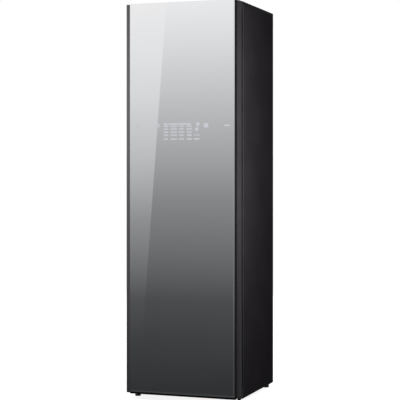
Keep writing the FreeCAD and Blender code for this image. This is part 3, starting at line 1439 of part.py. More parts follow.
def door_frame():
    """steel surround, stepped on the left behind the grip's channel"""
    body = new_body("door_frame")
    wall = "frame_wall"
    block = pad(body, "xy", "frame_bottom", "frame_top", polygon(
        ("-half_width", "channel_back"), ("-half_width", "door_back"), ("half_width", "door_back"),
        ("half_width", "trim_back"), ("channel_side", "trim_back"), ("channel_side", "channel_back")))
    round_edges(body, block, edges(block, "z", y=["door_back"]), "frame_edge_round")
    low, high = f"frame_bottom + {wall}", f"frame_top - {wall}"
    cut(body, "xz", f"channel_back + {wall}", "door_back", rectangle(
        f"-half_width + {wall}", low, f"half_width - {wall}", high))
    cut(body, "xz", "trim_back", f"channel_back + {wall}", rectangle(
        f"channel_side + {wall}", low, f"half_width - {wall}", high))
    for near, far in (("frame_bottom", low), (high, "frame_top")):
        cut(body, "xy", near, far, circle("hinge_x", "hinge_y", "hinge_bush_radius"))


def door_grip():
    """full-height channel section, open to the left for the fingers"""
    body = new_body("door_grip")
    sheet = "grip_sheet"
    face = "(trim_back - grip_step)"
    edge = "-half_width"
    web = "(channel_side - fit_gap)"
    back = "(channel_back - fit_gap)"
    bar = pad(body, "xy", "door_lift", "door_top", polygon(
        (edge, face), (web, face), (web, back), (edge, back), (edge, f"{back} - {sheet}"),
        (f"{web} - {sheet}", f"{back} - {sheet}"), (f"{web} - {sheet}", f"{face} + {sheet}"),
        (f"{edge} + {sheet}", f"{face} + {sheet}"), (f"{edge} + {sheet}", f"{face} + grip_lip"),
        (edge, f"{face} + grip_lip")))
    round_edges(body, bar, edges(bar, "z", x=[edge], y=[face, f"{face} + grip_lip"]), "grip_edge_round")


def door_liner():
    """moulded back skin with a raised plateau that enters the chamber's mouth"""
    body = new_body("door_liner")
    edge = "(half_width - frame_wall - fit_gap)"
    low, high = "frame_bottom + frame_wall + fit_gap", "frame_top - frame_wall - fit_gap"
    skin = "liner_sheet"
    pad(body, "xz", f"door_back - {skin}", "door_back", rounded(
        f"-{edge}", low, edge, high, "frame_edge_round"))
    bottom, top = "plinth_height + plateau_gap", "ceiling - plateau_gap"
    pad(body, "xz", "door_back", "plateau", rounded(
        "-plateau_half", bottom, "plateau_half", top, "plateau_round"))
    cut(body, "xz", f"door_back - {skin}", f"plateau - {skin}", rounded(
        f"-plateau_half + {skin}", f"{bottom} + {skin}", f"plateau_half - {skin}", f"{top} - {skin}",
        f"plateau_round - {skin}"))


def door_insulation():
    """foam block inside the door, recessed for the display"""
    body = new_body("door_insulation")
    inset = "door_foam_inset"
    low, high = f"frame_bottom + frame_wall + {inset}", f"frame_top - frame_wall - {inset}"
    pad(body, "xz", "glass_back + fit_gap", "door_back - liner_sheet - fit_gap", rectangle(
        f"channel_side + {inset}", low, f"hinge_x - {inset}", high))
    gap = "fit_gap"
    cut(body, "xz", "glass_back + fit_gap", "glass_back + display_depth + 2*fit_gap", rectangle(
        f"display_offset - display_width/2 - {gap}", f"display_middle - display_height/2 - {gap}",
        f"display_offset + display_width/2 + {gap}", f"display_middle + display_height/2 + {gap}"))


def display_module():
    """shallow housing that lights the symbols through the mirror"""
    body = new_body("display_module")
    half, rise = "display_width/2", "display_height/2"
    near = "glass_back + fit_gap"
    pad(body, "xz", near, "glass_back + display_depth", rounded(
        f"display_offset - {half}", f"display_middle - {rise}",
        f"display_offset + {half}", f"display_middle + {rise}", "display_round"))
    rim = "display_round"
    cut(body, "xz", near, f"{near} + display_round/2", rectangle(
        f"display_offset - {half} + {rim}", f"display_middle - {rise} + {rim}",
        f"display_offset + {half} - {rim}", f"display_middle + {rise} - {rim}"))


def door_gasket():
    """hollow-looking seal: a flat root and a rounded lobe towards the cabinet"""
    body = new_body("door_gasket")
    half, low, high, width = "seal_half", "seal_bottom", "seal_top", "seal_width"
    pad(body, "xz", "door_back", "door_back + seal_base",
        rectangle(f"-{half}", low, half, high),
        rectangle(f"-{half} + {width}", f"{low} + {width}", f"{half} - {width}", f"{high} - {width}"))
    inset = "((seal_width - seal_lobe_width)/2)"
    near, far = "door_back + seal_base", "cabinet_front - fit_gap"
    lobe = pad(body, "xz", near, far,
               rectangle(f"-{half} + {inset}", f"{low} + {inset}", f"{half} - {inset}", f"{high} - {inset}"),
               rectangle(f"-{half} + {width} - {inset}", f"{low} + {width} - {inset}",
                         f"{half} - {width} + {inset}", f"{high} - {width} + {inset}"))
    crown = edges(lobe, "x", y=[far]) + edges(lobe, "z", y=[far])
    round_edges(body, lobe, crown, "seal_lobe_round")


def hinge(label, end):
    """plate, leg and pin: end is +1 above the door and -1 below it"""
    body = new_body(label)
    door_end = "frame_top" if end > 0 else "frame_bottom"
    place(body, "hinge_x", "hinge_y", f"{door_end} + {end}*hinge_washer")
    reach = "(cabinet_front - hinge_y)"
    inner, outer = "0", f"{end}*hinge_plate"
    low, high = (inner, outer) if end > 0 else (outer, inner)
    pad(body, "xy", low, high, rectangle("-hinge_inset", 0, "hinge_inset", reach))
    pad(body, "xy", low, high, circle(0, 0, "hinge_inset"))
    tip = f"{-end}*hinge_pin_length"
    pin_low, pin_high = (tip, inner) if end > 0 else (inner, tip)
    pad(body, "xy", pin_low, pin_high, circle(0, 0, "hinge_pin_radius"))
    leg = f"{-end}*hinge_leg"
    leg_low, leg_high = (leg, outer) if end > 0 else (outer, leg)
    pad(body, "xz", f"{reach} - hinge_plate", reach, rectangle(
        "-hinge_inset", leg_low, "hinge_inset", leg_high))


def hinge_bushes():
    """flanged sleeves pressed into the frame's two ends"""
    body = new_body("hinge_bushes")
    place(body, "hinge_x", "hinge_y", 0)
    bore = "(hinge_pin_radius + running_gap)"
    flange = "(hinge_bush_radius + bush_flange)"
    for end, door_end in ((1, "frame_top"), (-1, "frame_bottom")):
        outer = f"{door_end} + {end}*(hinge_washer - fit_gap)"
        inner = f"{door_end} - {end}*bush_length"
        for radius, near, far in (("hinge_bush_radius", inner, door_end), (flange, door_end, outer)):
            low, high = (near, far) if end > 0 else (far, near)
            pad(body, "xy", low, high, circle(0, 0, radius), circle(0, 0, bore))


# ---- trouser press ----

def press_board():
    """firm board on the door with the bracket of the trouser clamp above it"""
    body = new_body("press_board")
    half = "press_half"
    pad(body, "xz", "plateau", "board_face", rounded(
        f"-{half}", "press_bottom", half, "press_top", "press_round"))
    rest = "clamp_width/2"
    pad(body, "xz", "plateau", "board_face", rectangle(
        f"-{rest} - clamp_ear - fit_gap", "press_top - press_round", f"{rest} + clamp_ear + fit_gap",
        "clamp_z - 3*clamp_barrel_radius/2"))
    for side in (-1, 1):
        inner, outer = f"{side}*({rest} + fit_gap)", f"{side}*({rest} + fit_gap + clamp_ear)"
        low, high = (inner, outer) if side > 0 else (outer, inner)
        pad(body, "yz", low, high, rectangle(
            "plateau", "clamp_z - 4*clamp_barrel_radius", "clamp_y + 2*clamp_barrel_radius",
            "clamp_z + 2*clamp_barrel_radius"))
        cut(body, "yz", low, high, circle("clamp_y", "clamp_z", "clamp_pin_radius + running_gap"))


def trouser_clamp():
    """flap that hangs from two pins and nips a trouser hem"""
    body = new_body("trouser_clamp")
    half = "clamp_width/2"
    pad(body, "yz", f"-{half}", half, circle("clamp_y", "clamp_z", "clamp_barrel_radius"))
    near = "clamp_y - clamp_sheet/2"
    far = "clamp_y + clamp_sheet/2"
    pad(body, "yz", f"-{half}", half, polygon(
        (near, "clamp_z"), (near, "clamp_bottom"), (f"{far} + clamp_lip", "clamp_bottom"),
        (f"{far} + clamp_lip", "clamp_bottom + clamp_sheet"), (far, "clamp_bottom + clamp_sheet*2"),
        (far, "clamp_z")))
    for side in (-1, 1):
        inner, outer = f"{side}*{half}", f"{side}*({half} + clamp_pin_length)"
        low, high = (inner, outer) if side > 0 else (outer, inner)
        pad(body, "yz", low, high, circle("clamp_y", "clamp_z", "clamp_pin_radius"))


def press_hinge():
    """strip on the door with bored barrels for the press cover's pins"""
    body = new_body("press_hinge")
    half = "press_strip_width/2"
    pad(body, "xz", "plateau", "plateau + press_strip_depth", rectangle(
        f"press_x - {half}", "press_bottom", f"press_x + {half}", "press_top"))
    low = "press_bottom + press_barrel_rise"
    high = f"{low} + press_barrel_length"
    arm = pad(body, "xy", low, high, rectangle(
        "press_x - press_strip_depth", "plateau + press_strip_depth/2",
        "press_x + press_strip_depth", "press_y"))
    barrel = pad(body, "xy", low, high, circle("press_x", "press_y", "press_barrel_radius"))
    bore = cut(body, "xy", low, high, circle("press_x", "press_y", "press_pin_radius + running_gap"))
    repeat(body, [arm, barrel, bore], "z", "press_barrel_pitch", "press_barrel_count")


def press_cover():
    """heated plate in a ribbed moulded cover, hung on lift-off pins"""
    body = new_body("press_cover")
    plate = pad(body, "xz", "cover_front", "cover_back", rounded(
        "-press_half", "press_bottom", "press_half", "press_top", "press_round"))
    round_edges(body, plate, rim(plate, "y", "cover_back"), "press_edge_round")
    first = "-press_groove_pitch*(press_groove_count - 1)/2"
    groove = cut(body, "xz", "cover_back - press_groove_depth", "cover_back", rounded(
        f"{first} - press_groove_width/2", "press_bottom + press_groove_margin",
        f"{first} + press_groove_width/2", "press_top - press_groove_margin", "press_groove_round"))
    repeat(body, [groove], "x", "press_groove_pitch", "press_groove_count")
    low = "press_bottom + press_barrel_rise + press_barrel_length + fit_gap"
    high = f"{low} + press_barrel_length"
    arm = pad(body, "xy", low, high, rectangle(
        "press_x", "press_y - press_barrel_radius",
        "-press_half + press_round", "press_y + press_barrel_radius"))
    barrel = pad(body, "xy", low, high, circle("press_x", "press_y", "press_barrel_radius"))
    stub = pad(body, "xy", f"{low} - press_pin_length", low, circle("press_x", "press_y", "press_pin_radius"))
    repeat(body, [arm, barrel, stub], "z", "press_barrel_pitch", "press_barrel_count")
    centre = "(press_bottom + press_height/2)"
    pad(body, "xy", f"{centre} - press_pull_height/2", f"{centre} + press_pull_height/2", polygon(
        ("press_half - press_pull_width", "cover_front + press_cover_depth/3"),
        ("press_half + press_pull_width", "cover_front + press_cover_depth/3"),
        ("press_half + press_pull_width", "cover_front + press_cover_depth/3 + press_edge_round"),
        ("press_half", "cover_front + press_cover_depth/3 + press_edge_round"),
        ("press_half - press_pull_width", "cover_back - press_edge_round")))


# ---- assembly ----

side_panel("side_panel_left", -1)
side_panel("side_panel_right", 1)
top_cover()
back_panel()
rear_service_cover()
base_frame()
levelling_foot("foot_left", -1)
levelling_foot("foot_right", 1)
rear_feet()
rear_screws()
cord_gland()
chamber_liner()
insulation()
chamber_lights()
floor_tray()
steam_nozzle()
air_outlet_grille()
shelf_rack()
lint_filter()
drive_base()
guide_rods()
rail_carriage()
hanger_rail()
crank_disc()
motor_bridge()
drive_motor()
tank_bay()
tank("water_tank", -1)
tank("drain_tank", 1)
tank_lid("water_tank_lid", -1)
tank_lid("drain_tank_lid", 1)
heat_pump_duct()
coil("evaporator", "evaporator_y")
coil("condenser", "condenser_y")
blower_housing()
blower_wheel()
blower_motor()
air_riser()
compressor()
compressor_mounts()
refrigerant_pipes()
steam_generator()
steam_pipe()
pumps()
control_board()
door_glass()
door_edge_trim()
door_frame()
door_grip()
door_liner()
door_insulation()
display_module()
door_gasket()
hinge("upper_hinge", 1)
hinge("lower_hinge", -1)
hinge_bushes()
press_board()
trouser_clamp()
press_hinge()
press_cover()
doc.recompute()

failed = [item.Name for item in doc.Objects if {"Invalid", "Error"} & set(item.State)]
if failed:
    raise RuntimeError(f"these objects did not build: {failed}")
for node in nodes:
    if node.Shape.isNull() or not node.Shape.isValid() or not node.Shape.Solids:
        raise RuntimeError(f"{node.Label} has no valid solid")

os.makedirs("parts", exist_ok=True)
for node in nodes:
    node.Shape.exportStep(f"parts/{node.Label}.step")
    box = node.Shape.BoundBox
    extent = f"{box.XLength:.1f} x {box.YLength:.1f} x {box.ZLength:.1f}"
    print(f"{node.Label}: {len(node.Shape.Solids)} solid, {extent}")
print(len(nodes), "nodes")
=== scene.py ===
import json
import math

import bmesh
import bpy
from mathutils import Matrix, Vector


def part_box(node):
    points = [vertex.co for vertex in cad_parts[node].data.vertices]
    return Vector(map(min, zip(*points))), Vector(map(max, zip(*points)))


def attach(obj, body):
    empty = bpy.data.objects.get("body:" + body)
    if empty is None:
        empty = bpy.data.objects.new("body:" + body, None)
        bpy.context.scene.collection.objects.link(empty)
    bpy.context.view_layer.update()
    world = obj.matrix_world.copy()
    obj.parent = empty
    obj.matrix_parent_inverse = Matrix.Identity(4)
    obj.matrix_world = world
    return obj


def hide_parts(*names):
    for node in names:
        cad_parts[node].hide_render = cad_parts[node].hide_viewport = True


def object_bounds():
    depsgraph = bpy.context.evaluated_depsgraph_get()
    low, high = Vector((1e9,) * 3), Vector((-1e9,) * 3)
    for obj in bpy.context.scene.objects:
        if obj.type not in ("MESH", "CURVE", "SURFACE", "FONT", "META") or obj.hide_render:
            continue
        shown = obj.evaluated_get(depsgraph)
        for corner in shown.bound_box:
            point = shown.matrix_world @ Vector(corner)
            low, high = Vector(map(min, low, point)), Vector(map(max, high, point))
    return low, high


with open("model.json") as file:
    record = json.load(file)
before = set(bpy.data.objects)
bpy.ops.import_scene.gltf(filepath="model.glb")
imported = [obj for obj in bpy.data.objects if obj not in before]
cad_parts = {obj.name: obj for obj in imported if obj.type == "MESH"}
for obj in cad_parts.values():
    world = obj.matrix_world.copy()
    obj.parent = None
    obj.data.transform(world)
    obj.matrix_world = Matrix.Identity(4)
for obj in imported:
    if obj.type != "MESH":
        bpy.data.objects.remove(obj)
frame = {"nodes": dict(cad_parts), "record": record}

nodes = frame["nodes"]
cadLow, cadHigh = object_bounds()
scene = bpy.context.scene
print("frame loaded:", len(nodes), "nodes")


# small helpers for modelling by hand: lengths are in metres, angles in degrees

# what counts as the same place, as lying in a face, as looking squarely one way and as leaning
slack = {"point": 1e-5, "face": 0.0002, "squarely": 0.95, "leaning": 0.05}
# how near corners merge, and below which angles faces merge and shade smoothly
cleanSet = {"weld": 0.00001, "flat": 0.4, "smooth": 32}


def same(first, second):
    return abs(first - second) < slack["point"]


def deselectAll():
    if bpy.context.object and bpy.context.object.mode != "OBJECT":
        bpy.ops.object.mode_set(mode="OBJECT")
    bpy.ops.object.select_all(action="DESELECT")


def makeActive(piece):
    deselectAll()
    piece.select_set(True)
    bpy.context.view_layer.objects.active = piece


def settle(piece, name):
    # the place goes into the mesh, the object stays at the origin
    piece.name = name
    piece.data.name = name
    makeActive(piece)
    bpy.ops.object.transform_apply(location=True, rotation=True, scale=True)
    return piece


def addBlock(name, low, high):
    low, high = Vector(low), Vector(high)
    deselectAll()
    bpy.ops.mesh.primitive_cube_add(size=1, location=(low + high)/2)
    bpy.context.object.scale = high - low
    return settle(bpy.context.object, name)


def addRound(name, radius, start, end, sides):
    # a cylinder from one point to another
    start, end = Vector(start), Vector(end)
    deselectAll()
    bpy.ops.mesh.primitive_cylinder_add(
        vertices=sides, radius=radius, depth=(end - start).length, location=(start + end)/2)
    bpy.context.object.rotation_mode = "QUATERNION"
    bpy.context.object.rotation_quaternion = (end - start).to_track_quat("Z", "Y")
    return settle(bpy.context.object, name)


def pickFaces(piece, wanted):
    # goes to edit mode with only the wanted faces selected
    makeActive(piece)
    bpy.ops.object.mode_set(mode="EDIT")
    bpy.ops.mesh.select_mode(type="FACE")
    bpy.ops.mesh.select_all(action="DESELECT")
    shape = bmesh.from_edit_mesh(piece.data)
    for face in shape.faces:
        face.select_set(bool(wanted(face.calc_center_median(), face.normal)))
    bmesh.update_edit_mesh(piece.data)


def pickEdges(piece, wanted):
    makeActive(piece)
    bpy.ops.object.mode_set(mode="EDIT")
    bpy.ops.mesh.select_mode(type="EDGE")
    bpy.ops.mesh.select_all(action="DESELECT")
    shape = bmesh.from_edit_mesh(piece.data)
    for edge in shape.edges:
        first, second = (corner.co for corner in edge.verts)
        edge.select_set(bool(wanted(first, second)))
    bmesh.update_edit_mesh(piece.data)


def backToObject():
    bpy.ops.object.mode_set(mode="OBJECT")


def applyModifier(piece, kind, **settings):
    makeActive(piece)
    step = piece.modifiers.new(kind.title(), kind)
    for key, given in settings.items():
        setattr(step, key, given)
    bpy.ops.object.modifier_apply(modifier=step.name)


def soften(piece, width, segments=2, angle=35):
    # rounded edges, then smooth shading that stops at what is still sharp
    applyModifier(piece, "BEVEL", width=width, segments=segments, limit_method="ANGLE",
                  angle_limit=math.radians(angle), use_clamp_overlap=True)
    makeActive(piece)
    bpy.ops.object.shade_smooth_by_angle(angle=math.radians(cleanSet["smooth"]))


def copyNode(node, name):
    # a clean copy of a CAD node's mesh, its triangles merged back to faces
    piece = bpy.data.objects.new(name, nodes[node].data.copy())
    piece.data.name = name
    scene.collection.objects.link(piece)
    makeActive(piece)
    bpy.ops.object.mode_set(mode="EDIT")
    bpy.ops.mesh.select_all(action="SELECT")
    bpy.ops.mesh.remove_doubles(threshold=cleanSet["weld"])
    bpy.ops.mesh.dissolve_limited(angle_limit=math.radians(cleanSet["flat"]))
    backToObject()
    return piece


def joinPieces(name, pieces):
    deselectAll()
    for piece in pieces:
        piece.select_set(True)
    bpy.context.view_layer.objects.active = pieces[0]
    bpy.ops.object.join()
    pieces[0].name = name
    pieces[0].data.name = name
    return pieces[0]


bodyOf = {node: body for body, members in frame["record"]["behaviour"]["bodies"].items()
          for node in members}


def fit(piece, material, node, replaces=True):
    # the piece moves with the node's body and takes the given finish; the node it replaces is hidden
    piece.data.materials.clear()
    piece.data.materials.append(material)
    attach(piece, bodyOf[node])
    if replaces:
        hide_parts(node)
    return piece


def refine(node, name, material, width, segments=2, angle=35):
    # the node's own shape with the roundings that its making leaves
    piece = copyNode(node, name)
    soften(piece, width, segments, angle)
    return fit(piece, material, node)


def dress(material, *names):
    # a better finish on CAD nodes whose shape is right
    for name in names:
        nodes[name].data.materials.clear()
        nodes[name].data.materials.append(material)


# materials

def linear(code):
    # a hex colour as the shader's linear red, green, blue and full alpha
    values = [int(code[place:place + 2], 16)/255 for place in (0, 2, 4)]
    return [value/12.92 if value <= 0.04045 else ((value + 0.055)/1.055)**2.4 for value in values] + [1]


def addNode(material, kind, settings=None, links=None):
    # settings go to inputs of that name or place, or else to the node itself; links feed inputs
    made = material.node_tree.nodes.new("ShaderNode" + kind)
    for key, given in (settings or {}).items():
        if isinstance(key, int) or key in made.inputs:
            made.inputs[key].default_value = given
        else:
            setattr(made, key, given)
    for key, source in (links or {}).items():
        material.node_tree.links.new(source, made.inputs[key])
    return made


def wire(material, source, target):
    material.node_tree.links.new(source, target)


def addTones(material, source, *stops):
    # a colour ramp over a value; stops are (place, hex colour) pairs
    ramp = addNode(material, "ValToRGB", {}, {"Fac": source})
    points = ramp.color_ramp.elements
    while len(points) < len(stops):
        points.new(0.5)
    for point, (spot, code) in zip(points, stops):
        point.position = spot
        point.color = linear(code)
    return ramp.outputs["Color"]


def addBump(material, shader, source, strength, distance):
    bump = addNode(material, "Bump", {"Strength": strength, "Distance": distance}, {"Height": source})
    wire(material, bump.outputs["Normal"], shader.inputs["Normal"])


def startMaterial(name, code, roughness, metallic=0.0, **more):
    sockets = {"ior": "IOR", "specular": "Specular IOR Level", "clear": "Transmission Weight",
               "glow": "Emission Strength"}
    material = bpy.data.materials.new(name)
    material.use_nodes = True
    material.node_tree.nodes.clear()
    place = addNode(material, "TexCoord")
    shader = addNode(material, "BsdfPrincipled", {
        "Base Color": linear(code), "Metallic": metallic, "Roughness": roughness,
        **{sockets[key]: given for key, given in more.items()}})
    addNode(material, "OutputMaterial", {}, {"Surface": shader.outputs["BSDF"]})
    return material, shader, place.outputs["Object"]


driftSet = {"scale": 6, "detail": 3, "from": 0.3, "to": 0.7}
grainSet = {"detail": 2, "strength": 0.25}
brushSet = {"across": 900, "along": 9, "from": 0.35, "to": 0.65, "strength": 0.15, "deep": 0.00002}


def speckle(material, shader, place, dark, light, grain, depth, spread=None):
    # colour that drifts between two tones, and a fine bump; grain is its size in metres
    drift = addNode(material, "TexNoise", {"Scale": driftSet["scale"], "Detail": driftSet["detail"]},
                    {"Vector": place})
    tones = addTones(material, drift.outputs["Fac"], (driftSet["from"], dark), (driftSet["to"], light))
    fine = addNode(material, "TexNoise", {"Scale": 1/grain, "Detail": grainSet["detail"]},
                   {"Vector": place})
    addBump(material, shader, fine.outputs["Fac"], grainSet["strength"], depth)
    wire(material, tones, shader.inputs["Base Color"])
    if spread:
        matt = addNode(material, "MapRange", {"To Min": spread[0], "To Max": spread[1]},
                       {"Value": fine.outputs["Fac"]})
        wire(material, matt.outputs["Result"], shader.inputs["Roughness"])


def speckled(name, code, dark, light, grain, depth, spread=None, **more):
    # dark and light are the two tones, depth is the bump's, and spread the roughness from low to high
    material, shader, place = startMaterial(name, code, **more)
    speckle(material, shader, place, dark, light, grain, depth, spread)
    return material


def brush(material, shader, place, along, dark, light):
    # fine lines along one axis: the noise is stretched there
    stretch = [brushSet["across"]]*3
    stretch["xyz".index(along)] = brushSet["along"]
    lines = addNode(material, "Mapping", {"Scale": stretch}, {"Vector": place})
    grain = addNode(material, "TexNoise", {"Scale": 1, "Detail": grainSet["detail"]},
                    {"Vector": lines.outputs["Vector"]})
    tones = addTones(material, grain.outputs["Fac"], (brushSet["from"], dark), (brushSet["to"], light))
    addBump(material, shader, grain.outputs["Fac"], brushSet["strength"], brushSet["deep"])
    wire(material, tones, shader.inputs["Base Color"])
    return tones


def addBands(material, place, direction, scale):
    waves = addNode(material, "TexWave", {
        "wave_type": "BANDS", "bands_direction": direction, "Scale": scale}, {"Vector": place})
    return waves.outputs["Fac"]


paneLow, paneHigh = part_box("door_glass")


def addHeight(material, place):
    # the axes, and the share of the pane's height, 0 at its foot and 1 at its top
    axes = addNode(material, "SeparateXYZ", {}, {"Vector": place})
    share = addNode(material, "MapRange", {"From Min": paneLow.z, "From Max": paneHigh.z},
                    {"Value": axes.outputs["Z"]})
    return axes, share.outputs["Result"]


def multiplyTones(material, first, second):
    product = addNode(material, "Mix", {"data_type": "RGBA", "blend_type": "MULTIPLY", 0: 1.0},
                      {6: first, 7: second})
    return product.outputs[2]


# powder-coated sheet steel, dark grey: satin with a fine orange peel
sideSteel = speckled("powderCoatedSteel", "232124", roughness=0.7, dark="211f22", light="252326",
                     grain=0.0012, depth=0.00005, spread=(0.66, 0.74), ior=1.5, specular=0.0)

# injection-moulded ABS with a fine spark-eroded grain: matt, a little lighter where light grazes it
coverPlastic = speckled("grainedAbs", "161618", roughness=0.6, dark="141416", light="19191b",
                        grain=0.0008, depth=0.00006, spread=(0.5, 0.62), ior=1.53, specular=0.004)

# hot-dip galvanised sheet: soft spangles about 8 mm wide, dull metal
galvanisedSheet, shader, place = startMaterial(
    "galvanisedSheet", "a2a6a8", metallic=0.85, roughness=0.45)
spangle = addNode(galvanisedSheet, "TexVoronoi", {"Scale": 130}, {"Vector": place}).outputs["Color"]
tones = addTones(galvanisedSheet, spangle, (0.1, "9ca0a2"), (0.9, "a9adaf"))
shine = addNode(galvanisedSheet, "MapRange", {"To Min": 0.42, "To Max": 0.5}, {"Value": spangle})
wire(galvanisedSheet, tones, shader.inputs["Base Color"])
wire(galvanisedSheet, shine.outputs["Result"], shader.inputs["Roughness"])

# moulded black rubber: matt, slightly dusty
blackRubber = speckled("mouldedRubber", "1c1c1d", roughness=0.75, dark="19191a", light="222223",
                       grain=0.0015, depth=0.00008, spread=(0.68, 0.85), ior=1.52)

# zinc-plated steel screws: bright, faintly blue
zincScrew = speckled("zincPlatedSteel", "b9bfc4", metallic=1.0, roughness=0.3, dark="aeb4ba",
                     light="c4c9cd", grain=0.0006, depth=0.00003)

# thermoformed ABS liner, pale grey: soft gloss with a slight waviness
linerPlastic = speckled("thermoformedLiner", "c3c5c7", roughness=0.28, dark="c0c2c4",
                        light="c6c8ca", grain=0.02, depth=0.0002, ior=1.53)

# rigid foam, poured: cream with open cells about 2.4 mm wide
foamBlock, shader, place = startMaterial("pouredFoam", "e3d6a6", roughness=0.85, ior=1.4)
cells = addNode(foamBlock, "TexVoronoi", {"Scale": 420}, {"Vector": place}).outputs["Distance"]
tones = addTones(foamBlock, cells, (0.1, "cdbd88"), (0.6, "eadfb6"))
wire(foamBlock, tones, shader.inputs["Base Color"])
addBump(foamBlock, shader, cells, strength=0.5, distance=0.0006)

# opal acrylic over a strip of small lamps 26 mm apart: glows evenly, brighter over each lamp
lightOpal, shader, place = startMaterial(
    "opalAcrylic", "f2f5f8", roughness=0.35, ior=1.49, glow=0.6)
lamps = addBands(lightOpal, place, "Z", scale=12)
tones = addTones(lightOpal, lamps, (0.0, "d9e2ec"), (1.0, "ffffff"))
wire(lightOpal, tones, shader.inputs["Emission Color"])

# moulded polypropylene tray, mid grey
trayPlastic = speckled("mouldedTray", "a4a7aa", roughness=0.42, dark="9fa2a5", light="aaadb0",
                       grain=0.001, depth=0.00006, spread=(0.38, 0.48), ior=1.49)

# glass-filled nylon, dark grey: steam parts that stay hot
nylonPart = speckled("glassFilledNylon", "5a5c60", roughness=0.5, dark="54565a", light="616367",
                     grain=0.0009, depth=0.00006, spread=(0.44, 0.56), ior=1.53)

# nickel-plated steel wire: bright, drawn lengthwise
shelfWire = speckled("platedWire", "cfd0d2", metallic=1.0, roughness=0.18, dark="c6c8ca",
                     light="d9dadc", grain=0.004, depth=0.00002)

# moulded filter frame, blue-grey polypropylene
filterFrame = speckled("filterFrame", "6d7c8d", roughness=0.45, dark="697889", light="728192",
                       grain=0.001, depth=0.00006, spread=(0.4, 0.5), ior=1.49)

# nylon gauze in the filter's windows: real threads lie 0.25 mm apart, here 1.5 mm so that they show
filterMesh, shader, place = startMaterial("nylonGauze", "3a424b", roughness=0.55, ior=1.53)
upright = addNode(filterMesh, "Mapping", {"Rotation": (math.pi/2, 0, 0)}, {"Vector": place})
weave = addNode(filterMesh, "TexBrick", {
    "offset": 0.0, "Color1": linear("2f353c"), "Color2": linear("343a42"), "Mortar": linear("8a97a6"),
    "Scale": 330, "Mortar Size": 0.12, "Row Height": 0.5, "Brick Width": 0.5},
    {"Vector": upright.outputs["Vector"]})
wire(filterMesh, weave.outputs["Color"], shader.inputs["Base Color"])

# ground steel: the rods and the crank, oiled
groundSteel, shader, place = startMaterial("groundSteel", "b4b5b7", metallic=1.0, roughness=0.16)
brush(groundSteel, shader, place, "x", "a6a7a9", "bfc0c2")

# gravity-cast aluminium: pale, sandy skin
castAluminium = speckled("castAluminium", "b2b4b6", metallic=1.0, roughness=0.48, dark="a5a7a9",
                         light="bdbfc1", grain=0.0012, depth=0.00015, spread=(0.42, 0.58))

# brushed stainless steel: the hanger rail, lines along its length
brushedRail, shader, place = startMaterial(
    "brushedStainless", "c2c2c0", metallic=1.0, roughness=0.26)
brush(brushedRail, shader, place, "x", "b3b3b1", "cdcdcb")

# black electrocoat, on motor cans and on the base pan
motorBlack = speckled("electrocoat", "242528", roughness=0.35, dark="212225", light="292a2d",
                      grain=0.001, depth=0.00004, spread=(0.3, 0.42), ior=1.5)

# charcoal ABS round the tanks, fine grain
bayPlastic = speckled("charcoalAbs", "4a4c50", roughness=0.45, dark="46484c", light="505256",
                      grain=0.0008, depth=0.00006, spread=(0.4, 0.52), ior=1.53)

# smoke-tinted SAN, see-through moulded tank
tankSmoke = speckled("smokeSan", "7f8994", roughness=0.1, dark="78828d", light="87919c", grain=0.03,
                     depth=0.0001, ior=1.57, clear=0.6)

# clear SAN level strip: nearly colourless, so that the dark tank shows through it
levelClear = speckled("clearSan", "dfe5ea", roughness=0.08, dark="d9e0e6", light="e4eaee",
                      grain=0.02, depth=0.00005, ior=1.57, clear=0.5)

# gloss charcoal ABS: tank lids
lidPlastic = speckled("glossCharcoalAbs", "55585d", roughness=0.25, dark="515459", light="5a5d62",
                      grain=0.01, depth=0.0001, ior=1.53)

# black polypropylene air ducts, matt from the tool
ductPlastic = speckled("ductPolypropylene", "3b3c3f", roughness=0.55, dark="37383b", light="414245",
                       grain=0.001, depth=0.00008, spread=(0.5, 0.62), ior=1.49)

# bare aluminium fins: closely stacked plates, drawn 2.9 mm apart where the real ones lie 1.4 mm apart
coilFins, shader, place = startMaterial("finnedAluminium", "c9cbcc", metallic=1.0, roughness=0.32)
fins = addBands(coilFins, place, "X", scale=110)
tones = addTones(coilFins, fins, (0.0, "8f9192"), (1.0, "d3d5d6"))
wire(coilFins, tones, shader.inputs["Base Color"])
addBump(coilFins, shader, fins, strength=0.5, distance=0.0004)

# glass-filled polypropylene blower wheel, black
wheelPlastic = speckled("blowerWheelPlastic", "2b2c2e", roughness=0.48, dark="28292b",
                        light="313234", grain=0.001, depth=0.00006, spread=(0.42, 0.55), ior=1.49)

# black enamel on the compressor's can, a little uneven where it ran
compressorPaint = speckled("compressorEnamel", "1e1f21", roughness=0.28, dark="1b1c1e",
                           light="252628", grain=0.006, depth=0.00015, spread=(0.24, 0.36), ior=1.5)

# drawn copper pipe with brown heat bloom at the joints
copperPipe = speckled("drawnCopper", "b87a54", metallic=1.0, roughness=0.28, dark="9c6544",
                      light="c58962", grain=0.003, depth=0.00005)

# silicone hose, dark grey
siliconeHose = speckled("siliconeHose", "57595c", roughness=0.5, dark="525457", light="5d5f62",
                        grain=0.002, depth=0.00008, ior=1.43)

# natural acetal and polypropylene: pumps and bushes
naturalAcetal = speckled("naturalAcetal", "d6d5cc", roughness=0.38, dark="cfcec4", light="dcdbd3",
                         grain=0.0015, depth=0.00006, ior=1.48)

# circuit board: green solder mask with faint copper tracks a few millimetres apart
boardGreen, shader, place = startMaterial("solderMask", "1d5a38", roughness=0.3, ior=1.55)
tracks = addNode(boardGreen, "TexBrick", {
    "Scale": 90, "Color1": linear("1d5a38"), "Color2": linear("1f6340"), "Mortar": linear("2f7a50"),
    "Mortar Size": 0.03}, {"Vector": place})
wire(boardGreen, tracks.outputs["Color"], shader.inputs["Base Color"])

